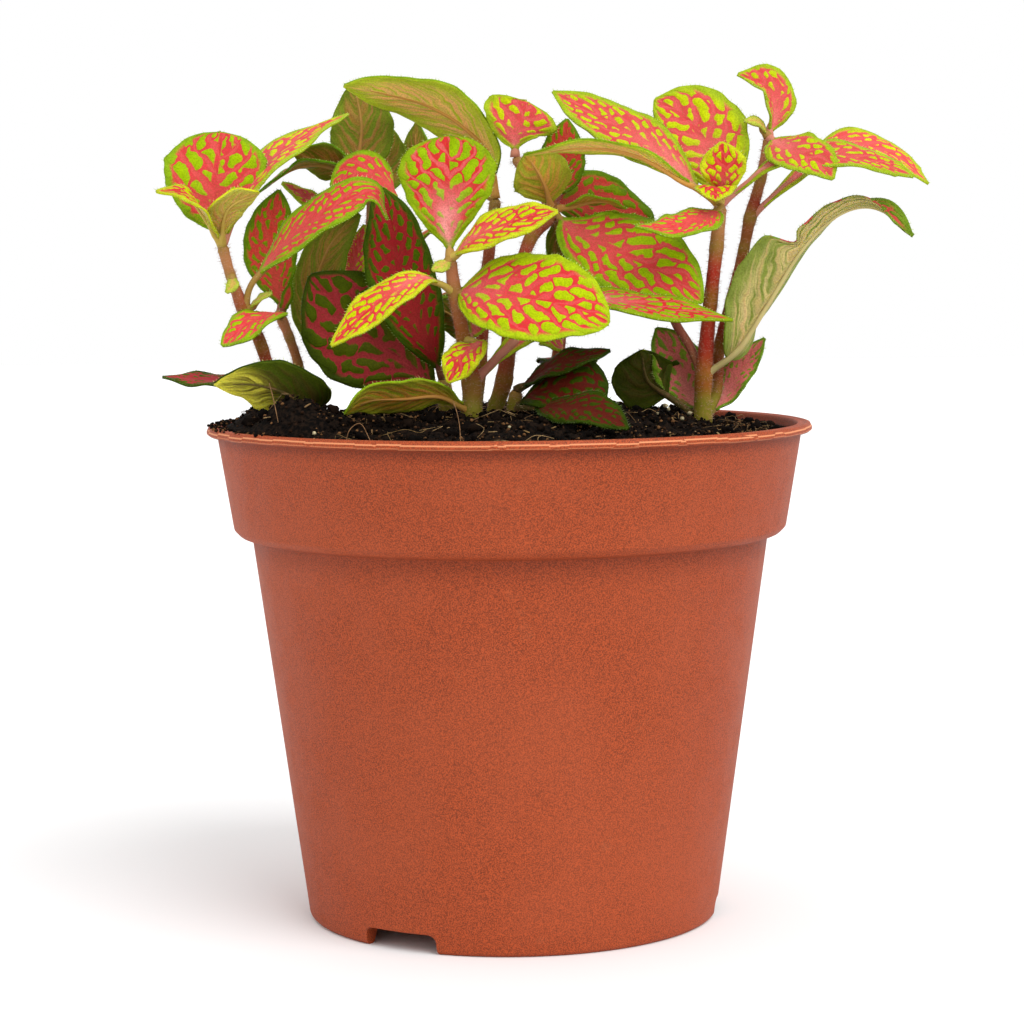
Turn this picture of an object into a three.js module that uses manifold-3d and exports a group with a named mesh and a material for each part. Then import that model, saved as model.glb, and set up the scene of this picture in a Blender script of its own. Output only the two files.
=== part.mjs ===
// A nerve plant in its nursery pot, in millimetres, +Z up.
// The origin is the middle of the pot's underside, on the surface it stands on; -Y is the front.
import * as THREE from 'three';
import { mergeVertices } from 'three/addons/utils/BufferGeometryUtils.js';
import Module from 'manifold-3d';

const wasm = await Module();
wasm.setup();

// Pot: a thin-walled moulded nursery pot, 12 cm across its lip.
const LIP_R = 60;              // outer radius of the lip
const LIP_TOP = 98.5;          // height of the lip
const LIP_DEEP = 1.5;          // height of the lip's rolled edge
const LIP_WIDE = 3.1;          // from the lip's outer edge to the inner wall
const BAND_TOP_R = 57.9;       // collar band, just under the lip
const BAND_LOW_R = 54.9;       // collar band, at its lower edge
const BAND_LOW = 76.8;         // height of the collar's lower edge
const BAND_ROUND = 1.2;        // rounding of the collar's lower edge
const WALL_TOP_R = 51.3;       // lower wall, where it meets the collar
const BASE_R = 41;             // standing skirt
const SKIRT_WIDE = 2.2;        // the skirt's standing edge and the foot of its inner side
const BASE_ROUND = 0.7;        // rounding of the skirt's outer edge
const WALL = 1.1;              // wall thickness
const FLOOR_Z = 4.2;           // underside of the raised part of the floor
const PAD_R = 12;              // flat pad in the middle of the floor, level with the skirt
const PAD_SLOPE = 2.5;         // run of the slope from the pad up to the raised floor
const ROUND = 36;              // facets round the pot and the soil

// Notches in the skirt and drain holes in the floor.
const NOTCH_ANGLES = [-122, -2, 118];
const NOTCH_WIDE = 16;
const NOTCH_TALL = 3.8;
const NOTCH_CORNER = 0.8;      // cut-off of the notch's upper corners
const NOTCH_DEEP = 8;          // reach of the notch's cutter through the skirt
const NOTCH_FROM_R = 35.5;     // radius where the cutter starts
const DRAIN_COUNT = 8;
const DRAIN_R = 3.2;
const DRAIN_RING_R = 26;
const DRAIN_SIDES = 8;

// Soil.
const SOIL_GAP = 0.35;         // air between soil and wall, and round each stem's foot
const SOIL_EDGE = 96.6;        // height of the soil at the wall
const SOIL_CROWN = 4.2;        // how far its middle stands above its edge
const CROWN_R = 24;            // radius where the soil starts to fall away
const SOIL_RINGS = [10, 20, 29, 37, 44, 50];
const MOUND = { x: -47, y: -5, tall: 3.4, spread: 7 };
const CRUMB_COARSE = 0.45;     // height of the soil's larger unevenness
const CRUMB_FINE = 0.3;
const CRUMB_EDGE = 6;          // width of the even rim beside the wall
const ROOT_Z = 91;             // the stems' feet end here, in plain holes
const FOOT_DEEP = 10;          // length of a stem that is in its hole
const FOOT_LEAN = 0.8;         // room in a hole for a stem that leans
const HOLE_SIDES = 8;
const HOLE_TALL = 30;          // the hole's cutter, up through the top of the soil

// Stems and leaves.
const STEM_SIDES = 6;
const BLADE_THICK = 0.7;       // blade, from skin to skin
const BLADE_FACET = 4.6;       // length of a blade's facets
const BLADE_STEPS = [3, 6];    // fewest and most facets along a blade
const LONG_STALK = 7;          // a stalk longer than this is bent in its middle
const TIP_HALF = 0.35;         // half the width of a blade's blunt tip
const BULGE = 0.75;            // how pointed a blade is: lower is rounder
const SPREAD = 6;              // a stalk has spread flat by 1/6 of its blade's length
const RIPPLES = 14;            // waves along a blade's edges, in radians
const RIPPLE_SKEW = 2;         // how far the two edges' waves are out of step, in radians
const TURN_FROM = 0.6;         // share of a blade where its tip starts to turn
const ACROSS_WIDE = [-1, -0.5, 0, 0.5, 1];
const ACROSS_SLIM = [-1, 0, 1];
const SLIM = 9.2;              // a leaf narrower than this has fewer facets

const v3 = (p) => new THREE.Vector3(...p);
const { clamp, degToRad, lerp, smoothstep } = THREE.MathUtils;

// A closed geometry becomes a solid for cutting and joining.
function toSolid(geometry) {
  const plain = geometry.clone();
  for (const name of Object.keys(plain.attributes)) {
    if (name !== 'position') plain.deleteAttribute(name);
  }
  const merged = mergeVertices(plain, 1e-4);
  return new wasm.Manifold(new wasm.Mesh({
    numProp: 3,
    vertProperties: new Float32Array(merged.attributes.position.array),
    triVerts: new Uint32Array(merged.index.array),
  }));
}

function toMesh(name, solid, material) {
  const data = solid.getMesh();
  const geometry = new THREE.BufferGeometry();
  geometry.setAttribute('position', new THREE.BufferAttribute(data.vertProperties, 3));
  geometry.setIndex(new THREE.BufferAttribute(data.triVerts, 1));
  geometry.computeVertexNormals();
  const mesh = new THREE.Mesh(geometry, material);
  mesh.name = name;
  return mesh;
}

function closedSolid(rings, faces) {
  const geometry = new THREE.BufferGeometry();
  const positions = rings.flat().flatMap((p) => [p.x, p.y, p.z]);
  geometry.setAttribute('position', new THREE.Float32BufferAttribute(positions, 3));
  geometry.setIndex(faces.flat());
  return toSolid(geometry);
}

// Stem: round sections along a smooth curve, with a radius at each of its points.
function limb(points, radii) {
  const curve = new THREE.CatmullRomCurve3(points.map(v3), false, 'catmullrom', 0.5);
  const steps = points.length - 1;
  const frames = curve.computeFrenetFrames(steps, false);
  const rings = [];
  for (let i = 0; i <= steps; i += 1) {
    const at = curve.getUtoTmapping(i / steps) * steps;
    const low = Math.min(Math.floor(at), steps - 1);
    const radius = lerp(radii[low], radii[low + 1], at - low);
    const centre = curve.getPointAt(i / steps);
    rings.push(Array.from({ length: STEM_SIDES }, (_, k) => {
      const angle = (k / STEM_SIDES) * 2 * Math.PI;
      return centre.clone()
        .addScaledVector(frames.normals[i], radius * Math.cos(angle))
        .addScaledVector(frames.binormals[i], radius * Math.sin(angle));
    }));
  }
  const faces = [];
  for (let i = 0; i < steps; i += 1) {
    for (let j = 0; j < STEM_SIDES; j += 1) {
      const a = i * STEM_SIDES + j;
      const b = i * STEM_SIDES + (j + 1) % STEM_SIDES;
      faces.push([a, b, b + STEM_SIDES], [a, b + STEM_SIDES, a + STEM_SIDES]);
    }
  }
  const last = steps * STEM_SIDES;
  for (let k = 1; k + 1 < STEM_SIDES; k += 1) {
    faces.push([0, k + 1, k], [last, last + k, last + k + 1]);
  }
  return closedSolid(rings, faces);
}

// Leaf: its stalk and blade are one skin. The rib runs from the stem through the points in via.
// face is the way the upper side looks, belly is where along the blade it is widest, fold is the
// rise of each half from the rib in degrees, cup is how far its edges droop again, and turn is how
// far its tip turns about the rib, in degrees. A low bulge makes a blunt, round blade.
function halfWidth(share, { wide, belly = 0.5, stalkR = 0.65, bulge = BULGE }) {
  if (share <= 0) return stalkR;
  const swell = Math.sin(Math.PI * share ** (Math.log(0.5) / Math.log(belly))) ** bulge;
  return Math.max((wide / 2) * swell, stalkR * (1 - share) + TIP_HALF);
}

// A notch narrows one side of the blade, past a share of its length, to a part of its width.
function offRib(v, share, half, { notch }) {
  const narrow = notch && v * notch.side > 0 && share > notch.share;
  return v * half * (narrow ? notch.keep : 1);
}

function leafSection(share, across, half, row) {
  const { fold = 10, cup = 0.12, wave = 0.4, stalkR = 0.65, wide } = row;
  const flat = clamp(share * SPREAD, 0, 1);
  return across.map((v) => {
    const off = offRib(v, share, half, row);
    const out = Math.abs(off);
    const ripple = wave * Math.sin(RIPPLES * share + RIPPLE_SKEW * v + wide) * v * v;
    const height = out * (Math.tan(degToRad(fold)) - cup * Math.abs(v)) + ripple * Math.min(1, half / 4);
    const round = stalkR * Math.sqrt(1 - (0.9 * v) ** 2);
    return { off, height: flat * height, thick: lerp(round, BLADE_THICK / 2, flat) };
  });
}

function leaf(from, row) {
  const { via, wide, face, stalk = 2.5, turn = 0 } = row;
  const curve = new THREE.CatmullRomCurve3([from, ...via].map(v3), false, 'catmullrom', 0.5);
  const long = curve.getLength();
  const bladeLong = long - stalk;
  const across = wide < SLIM ? ACROSS_SLIM : ACROSS_WIDE;
  const stations = stalk > LONG_STALK ? [0, stalk / 2 / long] : [0];
  const bladeSteps = clamp(Math.round(bladeLong / BLADE_FACET), ...BLADE_STEPS);
  for (let i = 0; i <= bladeSteps; i += 1) {
    const even = i / bladeSteps;
    const eased = (1 - Math.cos(Math.PI * even)) / 2;
    stations.push((stalk + bladeLong * (even + eased) / 2) / long);
  }
  const chord = v3(via[via.length - 1]).sub(v3(from)).normalize();
  const side = chord.clone().cross(v3(face)).normalize();
  const rings = stations.map((t) => {
    const centre = curve.getPointAt(t);
    const along = curve.getTangentAt(t);
    const share = (t * long - stalk) / bladeLong;
    const lean = degToRad(turn) * clamp((share - TURN_FROM) / (1 - TURN_FROM), 0, 1);
    const right = side.clone().addScaledVector(along, -side.dot(along)).normalize()
      .applyAxisAngle(along, -lean);
    const up = right.clone().cross(along);
    const half = halfWidth(share, row);
    const section = leafSection(share, across, half, row);
    const place = (off, height) => centre.clone()
      .addScaledVector(right, off).addScaledVector(up, height);
    const under = section.map(({ off, height, thick }) => place(off, height - thick));
    const top = section.map(({ off, height, thick }) => place(off, height + thick));
    return [...under, ...top.reverse()];
  });
  // Both skins of the blade are split along the same diagonals.
  const n = across.length;
  const count = 2 * n;
  const faces = [];
  for (let i = 0; i + 1 < rings.length; i += 1) {
    for (let j = 0; j < count; j += 1) {
      const a = i * count + j;
      const b = i * count + (j + 1) % count;
      const c = b + count;
      const d = a + count;
      if (j < n - 1) faces.push([a, c, b], [a, d, c]);
      else faces.push([a, d, b], [b, d, c]);
    }
  }
  const last = (rings.length - 1) * count;
  for (let j = 0; j + 1 < n; j += 1) {
    const high = count - 1 - j;
    faces.push([j, j + 1, high], [j + 1, high - 1, high]);
    faces.push([last + j, last + high, last + j + 1], [last + j + 1, last + high, last + high - 1]);
  }
  return closedSolid(rings, faces);
}

// Each shoot is a stem with its leaves. A stem is a list of points and radii from its foot in the
// soil to its top; a leaf grows from one of those points (at), or from a point of a branch (limb).
const SHOOTS = {
  stem_left: {
    stem: [[-45, -7, ROOT_Z], [-46, -7, 104], [-48.5, -8, 114.5], [-51.5, -9, 121], [-54, -10, 128],
      [-55.5, -11, 134]],
    radii: [1.4, 1.35, 1.25, 1.5, 1.05, 1.2],
    leaves: [
      { at: 5, via: [[-57, -10, 144], [-55.6, -6, 156]], wide: 20.5, face: [-0.1, -0.9, 0.3],
        belly: 0.62, bulge: 0.5 },
      { at: 5, via: [[-52.3, -11, 141.8], [-46.8, -8, 149.5], [-39.3, -3, 155.3], [-31.3, 1, 159.6]],
        wide: 13.5, face: [-0.4, -0.35, 0.85] },
      { at: 5, via: [[-57.5, -15, 138.5], [-61.5, -18, 143.5], [-67, -20, 144.2]], wide: 10,
        face: [-0.2, -0.45, 0.87] },
      { at: 5, via: [[-55, -15, 138], [-53, -18, 141.5], [-47.5, -18, 144]], wide: 7.5,
        face: [-0.3, 0.6, 0.7] },
      { at: 3, via: [[-49.5, -11, 127], [-41, -14, 135.8], [-33, -16, 141.3], [-26.3, -17, 143.3],
        [-23, -18, 138.5]], wide: 12, face: [-0.3, -0.65, 0.7], stalk: 9 },
      { at: 4, via: [[-53.4, -12.5, 126.3], [-54.6, -13.5, 124.8]], wide: 2.6, face: [0, -0.5, 0.9],
        stalk: 1.2 },
      { at: 3, via: [[-48.3, -11, 123.6], [-45.9, -11.5, 124.6]], wide: 3, face: [0, -0.5, 0.9],
        stalk: 2 },
      { at: 1, via: [[-47.8, -9.5, 105.8], [-53.6, -10, 107.3], [-60.8, -10, 107.7],
        [-67.7, -10, 108.4]], wide: 9, face: [0, -0.25, 0.97], stalk: 5 },
    ],
  },
  stem_left_rear: {
    stem: [[-40.5, 0, ROOT_Z], [-41, 0, 104], [-41.8, 0, 110], [-43.5, 0, 115.5], [-45.3, 0, 120]],
    radii: [1.1, 1.05, 1, 1, 1.2],
    leaves: [
      { at: 4, via: [[-45.5, 1.5, 123.5], [-47.3, 3, 134], [-45.5, 4, 145]], wide: 11,
        face: [-0.1, -0.97, 0.15] },
      { at: 4, via: [[-45.5, -12.3, 120.6], [-50.5, -15, 118.4], [-55.4, -16, 114.6]], wide: 10.5,
        face: [-0.45, -0.7, 0.55], stalk: 10 },
      { at: 4, via: [[-43.8, -1, 123.5], [-43, -1.5, 126.5]], wide: 2.4, face: [0, -0.9, 0.4],
        stalk: 1.5 },
      { at: 1, via: [[-38.5, -9, 101.2], [-39.2, -15, 102.6], [-43, -18.5, 105.6], [-49, -20.5, 107.4],
        [-56.5, -21, 107.4]], wide: 14, face: [-0.1, 0.72, 0.68], stalk: 11, belly: 0.42 },
    ],
  },
  stem_low_left: {
    stem: [[-12, -3, ROOT_Z], [-12.5, -3.5, 103], [-13, -4, 107.5]],
    radii: [1.6, 1.6, 1.5],
    leaves: [
      { at: 2, via: [[-16.5, -9, 116], [-21, -9.5, 128.5], [-22.8, -7.5, 137.5], [-25.5, -3, 145.5]],
        wide: 13.5, face: [-0.1, -0.98, 0.1], stalk: 3 },
      { at: 1, via: [[-20, -3, 110], [-28.8, -3, 116.5], [-39, -5, 128]], wide: 22,
        face: [-0.1, -0.95, 0.25], stalk: 2.5, belly: 0.58 },
    ],
  },
  stem_back_left: {
    stem: [[-26, 12, ROOT_Z], [-27, 12, 106], [-28, 11, 118], [-28, 11, 131], [-27, 10, 143]],
    radii: [1.5, 1.5, 1.3, 1.2, 1.3],
    leaves: [
      { at: 4, via: [[-30, 13, 149], [-29.4, 15, 157.8], [-31, 16, 167]], wide: 13,
        face: [0, 0.95, 0.2], belly: 0.55 },
      { at: 4, via: [[-24.7, 17, 149], [-24.3, 20, 158.4]], wide: 9, face: [0, 0.95, 0.2] },
      { at: 4, via: [[-33, 9, 149], [-43, 9, 152.5]], wide: 8.5, face: [0, 0.75, 0.65], stalk: 5 },
      { at: 4, via: [[-34, 6, 149.3], [-42, 5.5, 149.5], [-49.5, 4.5, 144.5]], wide: 9,
        face: [0, 0.12, 1], stalk: 7 },
      { at: 4, via: [[-37, 11, 142], [-45.5, 11, 146.5]], wide: 5, face: [0, -0.6, 0.8], stalk: 7 },
      { at: 4, via: [[-22.5, 3, 144.5], [-28.5, 1.5, 147.6], [-35, 0, 145.5]], wide: 11.5,
        face: [0.3, -0.75, 0.6], stalk: 7 },
      { at: 1, via: [[-36, 10, 110], [-39.3, 7, 121], [-36, 6, 133], [-29.5, 6, 140]], wide: 10.5,
        face: [0.2, 0.9, 0.2], stalk: 11 },
      { at: 2, via: [[-31.5, 9, 126], [-28.7, 8.5, 138]], wide: 6.5, face: [-0.5, -0.8, 0], stalk: 5 },
    ],
  },
  stem_back_centre: {
    stem: [[-8, 16, ROOT_Z], [-6, 15, 108], [-4.5, 13, 126], [-2.4, 11, 143]],
    radii: [1.5, 1.4, 1.3, 1.2],
    leaves: [
      { at: 3, via: [[-3.2, 11, 151.5], [-9, 10, 157.8], [-16, 9, 161.8], [-24, 8, 164],
        [-32.5, 7, 165.6]], wide: 16, face: [0.1, 0.5, 0.85], stalk: 5 },
      { at: 3, via: [[-12, 17, 147], [-18, 19, 152], [-18.5, 20, 159]], wide: 7.5, face: [0, 0.95, 0.2],
        stalk: 9 },
      { at: 1, via: [[-10, 8, 118], [-14, 6, 121], [-18, 5, 121]], wide: 7, face: [0, 0.9, 0.4],
        stalk: 7 },
    ],
  },
  stem_centre: {
    stem: [[-7.2, -20, ROOT_Z], [-7.2, -20, 101.5], [-7.2, -20, 107], [-8.6, -20, 115.5],
      [-10.2, -20, 124.5], [-11, -20, 131]],
    radii: [2, 2.1, 1.95, 1.4, 1.4, 1.2],
    leaves: [
      { at: 5, via: [[-11.5, -21.5, 139.5], [-11.4, -21, 147], [-11.4, -18, 154.4]], wide: 18.5,
        face: [0, -0.97, 0.2], belly: 0.66, stalk: 2, bulge: 0.52 },
      { at: 5, via: [[-6.5, -24, 134.7], [0.6, -26, 137.5], [9.5, -28, 139.7]], wide: 11,
        face: [0.15, -0.62, 0.78], stalk: 2 },
      { at: 4, via: [[-15.3, -24, 127.3], [-20.8, -27, 125.2], [-27, -29, 120.6], [-33.4, -30, 114.8]],
        wide: 9.5, face: [-0.3, -0.65, 0.7], stalk: 5 },
      { at: 4, via: [[-5, -25, 124.8], [3.4, -29, 123.7], [12, -31, 122], [18.9, -31, 118.6]],
        wide: 19.5, face: [0.05, -0.85, 0.5], stalk: 1.5, bulge: 0.6 },
      { at: 5, via: [[-12.6, -23, 129.6], [-14.4, -24, 128.8]], wide: 3.2, face: [0, -0.7, 0.7],
        stalk: 1.5 },
      { at: 3, via: [[-5.8, -24, 115], [-8.6, -27, 112.4], [-11.5, -28, 107.6]], wide: 8,
        face: [-0.3, -0.8, 0.5], stalk: 4 },
      { at: 1, via: [[-13, -25, 105], [-20, -28, 104.8], [-26.5, -30, 104.5], [-31, -31, 102]],
        wide: 10.5, face: [0, 0.68, 0.72], stalk: 3, belly: 0.58 },
      { at: 2, via: [[0.6, -15.5, 114.4], [6, -13, 118], [9.6, -12, 114.5], [11, -11.5, 109.4]],
        wide: 9, face: [0, -0.9, 0.3], stalk: 13, stalkR: 0.9 },
      { at: 3, via: [[-6.6, -17.5, 117], [-5, -17, 122]], wide: 4, face: [0.2, -0.9, 0.2] },
    ],
  },
  stem_tall: {
    stem: [[-3, -8, ROOT_Z], [-3, -8, 100], [-1, -8, 107], [0.2, -7, 115], [1, -6, 121], [2.4, -4, 128.5],
      [4.6, -2, 135], [8.8, 0, 140.4], [4.5, 3, 146.5], [1.6, 4, 151]],
    radii: [1.75, 1.75, 1.75, 1.6, 1.5, 1.4, 1.35, 1.5, 1.1, 1.1],
    leaves: [
      { at: 9, via: [[1.8, 4, 156.3], [4.2, 5, 162]], wide: 15.5, face: [0, -0.95, 0.3], belly: 0.68,
        stalk: 1.5, bulge: 0.5 },
      { at: 7, via: [[7, -4, 146], [3.6, -4, 151.6]], wide: 12, face: [0, 0.9, 0.4], stalk: 2 },
      { at: 7, via: [[11.2, 5, 146], [11.2, 7, 152], [12.1, 8, 158.7]], wide: 9,
        face: [0.1, -0.95, 0.3], stalk: 5 },
      { at: 7, via: [[17.6, -2, 142.2], [23.4, -3, 140.5]], wide: 7, face: [0, 0.2, 0.98], stalk: 3 },
      { at: 7, via: [[11, 7, 142], [17.2, 10, 141.4], [23.4, 11, 137.6], [28.6, 9, 132]], wide: 17,
        face: [0.2, -0.8, 0.5], stalk: 5 },
      { at: 7, via: [[13.5, -4, 136], [19.8, -7, 133], [26.4, -10, 129.8], [32.4, -12, 126.6],
        [37.6, -13, 122]], wide: 20, face: [0.15, -0.85, 0.5], stalk: 3 },
      { at: 7, via: [[11.4, 3, 133], [16.7, 4, 125.5]], wide: 8.5, face: [0, 0.95, 0], stalk: 2.5 },
      { at: 4, via: [[8, -14, 122], [17, -20, 122.9], [26.5, -23, 121.6], [35.8, -24, 120],
        [42.6, -25, 118.9]], wide: 12, face: [0, -0.33, 0.94], stalk: 9 },
    ],
  },
  stem_low_centre: {
    stem: [[0.5, -14, ROOT_Z], [1, -14, 102], [1.5, -14, 105.5]],
    radii: [1.5, 1.5, 1.4],
    leaves: [
      { at: 1, via: [[5, -19, 104.9], [12, -22, 106.4], [18.3, -24, 102.9]], wide: 15,
        face: [0, -0.72, 0.68], stalk: 2.5, belly: 0.62 },
      { at: 2, via: [[8, -19.5, 110], [14.5, -21, 112], [19.5, -21, 113.2]], wide: 8,
        face: [0, -0.5, 0.87], stalk: 2.5 },
      { at: 1, via: [[9, -28, 102.8], [16, -37, 102.4], [21.8, -44, 99.6]], wide: 9,
        face: [0, -0.8, 0.6], stalk: 9 },
    ],
  },
  stem_right: {
    stem: [[38, -8, ROOT_Z], [38, -8, 99], [38.2, -8, 107.5], [39.6, -8, 122.5], [40.8, -8, 133],
      [41.5, -8, 141]],
    radii: [1.9, 1.9, 1.75, 1.4, 1.4, 1.4],
    branches: [
      { at: 1, via: [[40.8, -4.5, 104.5], [41.6, -4.8, 113.6], [44, -4, 122.6], [46.5, -3, 132.3],
        [47.8, -3, 138.6], [50, -2, 146.3], [51.5, -2, 154.2]],
        radii: [1.3, 1.3, 1.15, 1.15, 1.1, 1.3, 1.1, 1] },
    ],
    leaves: [
      { at: 5, via: [[36.9, -9, 144.6], [29, -8, 151.8], [17.2, -6, 158.6], [9, -4, 163.4]], wide: 13,
        face: [-0.1, -0.6, 0.8], stalk: 6 },
      { at: 5, via: [[34.5, -12.5, 145.5], [24.8, -14, 150.7], [15, -14, 152.2], [3.2, -13, 150.8]],
        wide: 9, face: [0, 0.35, 0.94], stalk: 9 },
      { at: 5, via: [[41.2, -5, 146], [39.8, -4, 151.4], [35.4, -2, 157.8], [29.2, 0, 162]], wide: 19,
        face: [0, -0.93, 0.35], belly: 0.52, stalk: 3 },
      { at: 5, via: [[41.8, -12.5, 146], [41.4, -14.5, 153]], wide: 9, face: [0, -0.95, 0.3], belly: 0.6
        },
      { at: 5, via: [[40.3, -13.5, 144.2], [39.8, -18.5, 141.6]], wide: 8, face: [0, -0.3, 0.95],
        stalk: 2 },
      { at: 5, via: [[46.5, -9, 145], [52, -10, 149], [61, -11, 150.5], [70, -12, 149.3],
        [78.5, -13, 146]], wide: 10, face: [-0.1, -0.5, 0.87], stalk: 12 },
      { at: 5, via: [[40.6, -12.5, 139.8], [36.5, -17, 137.8], [30.5, -20, 136.4], [24.3, -21, 136.8]],
        wide: 9.5, face: [0.1, -0.42, 0.9], stalk: 5, belly: 0.42 },
      { limb: 0, at: 7, via: [[52.5, -1.5, 158.3], [51.4, -1, 163.4], [45.4, -1, 166.6]], wide: 8.5,
        face: [0.6, -0.75, 0.2], stalk: 1.5, fold: 36 },
      { limb: 0, at: 7, via: [[54.6, -10, 151.8], [59.8, -14, 149.2], [62.7, -16, 145.6]], wide: 10.5,
        face: [-0.1, -0.75, 0.65], stalk: 2 },
      { limb: 0, at: 7, via: [[49.5, -4, 157], [46.4, -5, 157.4]], wide: 2.8, face: [0, -0.7, 0.7],
        stalk: 1.5 },
      { limb: 0, at: 5, via: [[54.6, -3, 144.6], [60.6, -3, 149.2], [67.6, -3, 152.7],
        [75.6, -4, 150.5], [82.6, -5, 144.8]], wide: 10.5, face: [-0.1, -0.55, 0.83], stalk: 11 },
      { at: 2, via: [[44.6, -10, 113], [50.3, -10, 121.5], [57.4, -9, 132.4], [64.8, -8, 139],
        [72, -8, 140], [79, -9, 134.6]], wide: 14, face: [-0.57, 0.7, 0.42], fold: 38, stalk: 6,
        belly: 0.34, notch: { share: 0.46, keep: 0.45, side: 1 }, turn: -60 },
      { at: 1, via: [[42.3, -3.5, 103], [45.2, -2.5, 108], [50.8, -2, 114.8]], wide: 6.6,
        face: [-0.5, -0.85, 0.1], stalk: 4 },
      { at: 1, via: [[35.8, -3, 103], [33.4, -1, 110], [29.2, -1, 117]], wide: 12,
        face: [0.4, -0.9, 0.1], stalk: 4 },
      { at: 1, via: [[31.5, -5, 103.5], [27.4, -3, 106.8], [26.3, -3, 112.8]], wide: 14,
        face: [0, 0.95, 0.2], stalk: 9 },
      { at: 2, via: [[35.6, -6, 113.5], [32.6, -4.5, 119.5], [36.5, -4, 123.8]], wide: 4,
        face: [0, -0.9, 0.3], stalk: 13, stalkR: 0.9 },
    ],
  },
  stem_rear_right: {
    stem: [[10, 24, ROOT_Z], [10, 23, 108], [12, 22, 122], [15, 21, 134]],
    radii: [1.5, 1.4, 1.2, 1.1],
    leaves: [
      { at: 3, via: [[18, 23, 140], [22, 29, 143]], wide: 13, face: [0.1, 0.3, 0.95] },
      { at: 3, via: [[11, 25, 139], [5, 31, 140]], wide: 12, face: [-0.2, 0.4, 0.9] },
      { at: 3, via: [[16.5, 20, 141], [18, 19, 147]], wide: 8, face: [0, 0.9, 0.3] },
      { at: 2, via: [[19, 28, 125], [25, 36, 122]], wide: 13, face: [0.2, 0.5, 0.85] },
      { at: 2, via: [[7, 28, 126], [0, 35, 122]], wide: 13, face: [-0.2, 0.5, 0.85] },
      { at: 1, via: [[12, 32, 110], [14, 41, 106]], wide: 13, face: [0, 0.5, 0.85] },
    ],
  },
  stem_rear_left: {
    stem: [[-18, 26, ROOT_Z], [-19, 26, 106], [-20, 25, 120], [-21, 24, 132]],
    radii: [1.5, 1.4, 1.2, 1.1],
    leaves: [
      { at: 3, via: [[-23, 27, 138], [-25, 33, 142]], wide: 13, face: [0, 0.4, 0.9] },
      { at: 3, via: [[-16, 27, 137], [-11, 33, 137]], wide: 12, face: [0.2, 0.5, 0.85] },
      { at: 2, via: [[-26, 30, 123], [-33, 36, 121]], wide: 13, face: [-0.3, 0.5, 0.8] },
      { at: 2, via: [[-14, 31, 123], [-9, 39, 119]], wide: 12, face: [0.2, 0.6, 0.8] },
      { at: 1, via: [[-22, 34, 109], [-25, 43, 106]], wide: 13, face: [-0.1, 0.5, 0.85] },
    ],
  },
};

// Pot: a turned shell. The outline runs up the outside, over the lip and down the inside.
const innerWall = [
  [LIP_R - LIP_WIDE, LIP_TOP - WALL / 3],
  [BAND_TOP_R - WALL - 0.2, LIP_TOP - 4],
  [BAND_LOW_R - WALL, BAND_LOW + BAND_ROUND],
  [WALL_TOP_R - WALL, BAND_LOW - BAND_ROUND / 2],
  [BASE_R - WALL + 0.3, FLOOR_Z + WALL],
];
const potOutline = [
  [0, 0], [PAD_R, 0], [PAD_R + PAD_SLOPE, FLOOR_Z],
  [BASE_R - 2 * SKIRT_WIDE, FLOOR_Z], [BASE_R - SKIRT_WIDE, 0],
  [BASE_R - BASE_ROUND, 0], [BASE_R, BASE_ROUND],
  [WALL_TOP_R, BAND_LOW - BAND_ROUND / 2],
  [BAND_LOW_R - BAND_ROUND, BAND_LOW], [BAND_LOW_R, BAND_LOW + BAND_ROUND],
  [BAND_TOP_R, LIP_TOP - LIP_DEEP - 0.6],
  [LIP_R - 0.2, LIP_TOP - LIP_DEEP], [LIP_R, LIP_TOP - LIP_DEEP / 2], [LIP_R - 0.5, LIP_TOP],
  ...innerWall,
  [PAD_R + PAD_SLOPE - 0.6, FLOOR_Z + WALL], [PAD_R - 0.6, WALL], [0, WALL],
];
const lathe = (outline) => new THREE.LatheGeometry(
  outline.map(([r, z]) => new THREE.Vector2(r, z)), ROUND).rotateX(Math.PI / 2);

function notchCutter(angle) {
  const half = NOTCH_WIDE / 2;
  const outline = new THREE.Shape([
    [-half, -1], [half, -1], [half - NOTCH_CORNER, NOTCH_TALL - NOTCH_CORNER],
    [half - 2 * NOTCH_CORNER, NOTCH_TALL], [-half + 2 * NOTCH_CORNER, NOTCH_TALL],
    [-half + NOTCH_CORNER, NOTCH_TALL - NOTCH_CORNER],
  ].map(([x, y]) => new THREE.Vector2(x, y)));
  return new THREE.ExtrudeGeometry(outline, { depth: NOTCH_DEEP, bevelEnabled: false })
    .rotateX(Math.PI / 2).translate(0, -NOTCH_FROM_R, 0).rotateZ(degToRad(angle + 90));
}

function makePot() {
  let pot = toSolid(lathe(potOutline));
  for (const angle of NOTCH_ANGLES) pot = pot.subtract(toSolid(notchCutter(angle)));
  for (let k = 0; k < DRAIN_COUNT; k += 1) {
    const angle = ((k + 0.5) / DRAIN_COUNT) * 2 * Math.PI;
    const hole = new THREE.CylinderGeometry(DRAIN_R, DRAIN_R, 4 * WALL, DRAIN_SIDES)
      .rotateX(Math.PI / 2)
      .translate(DRAIN_RING_R * Math.cos(angle), DRAIN_RING_R * Math.sin(angle), FLOOR_Z + WALL / 2);
    pot = pot.subtract(toSolid(hole));
  }
  return pot;
}

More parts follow.
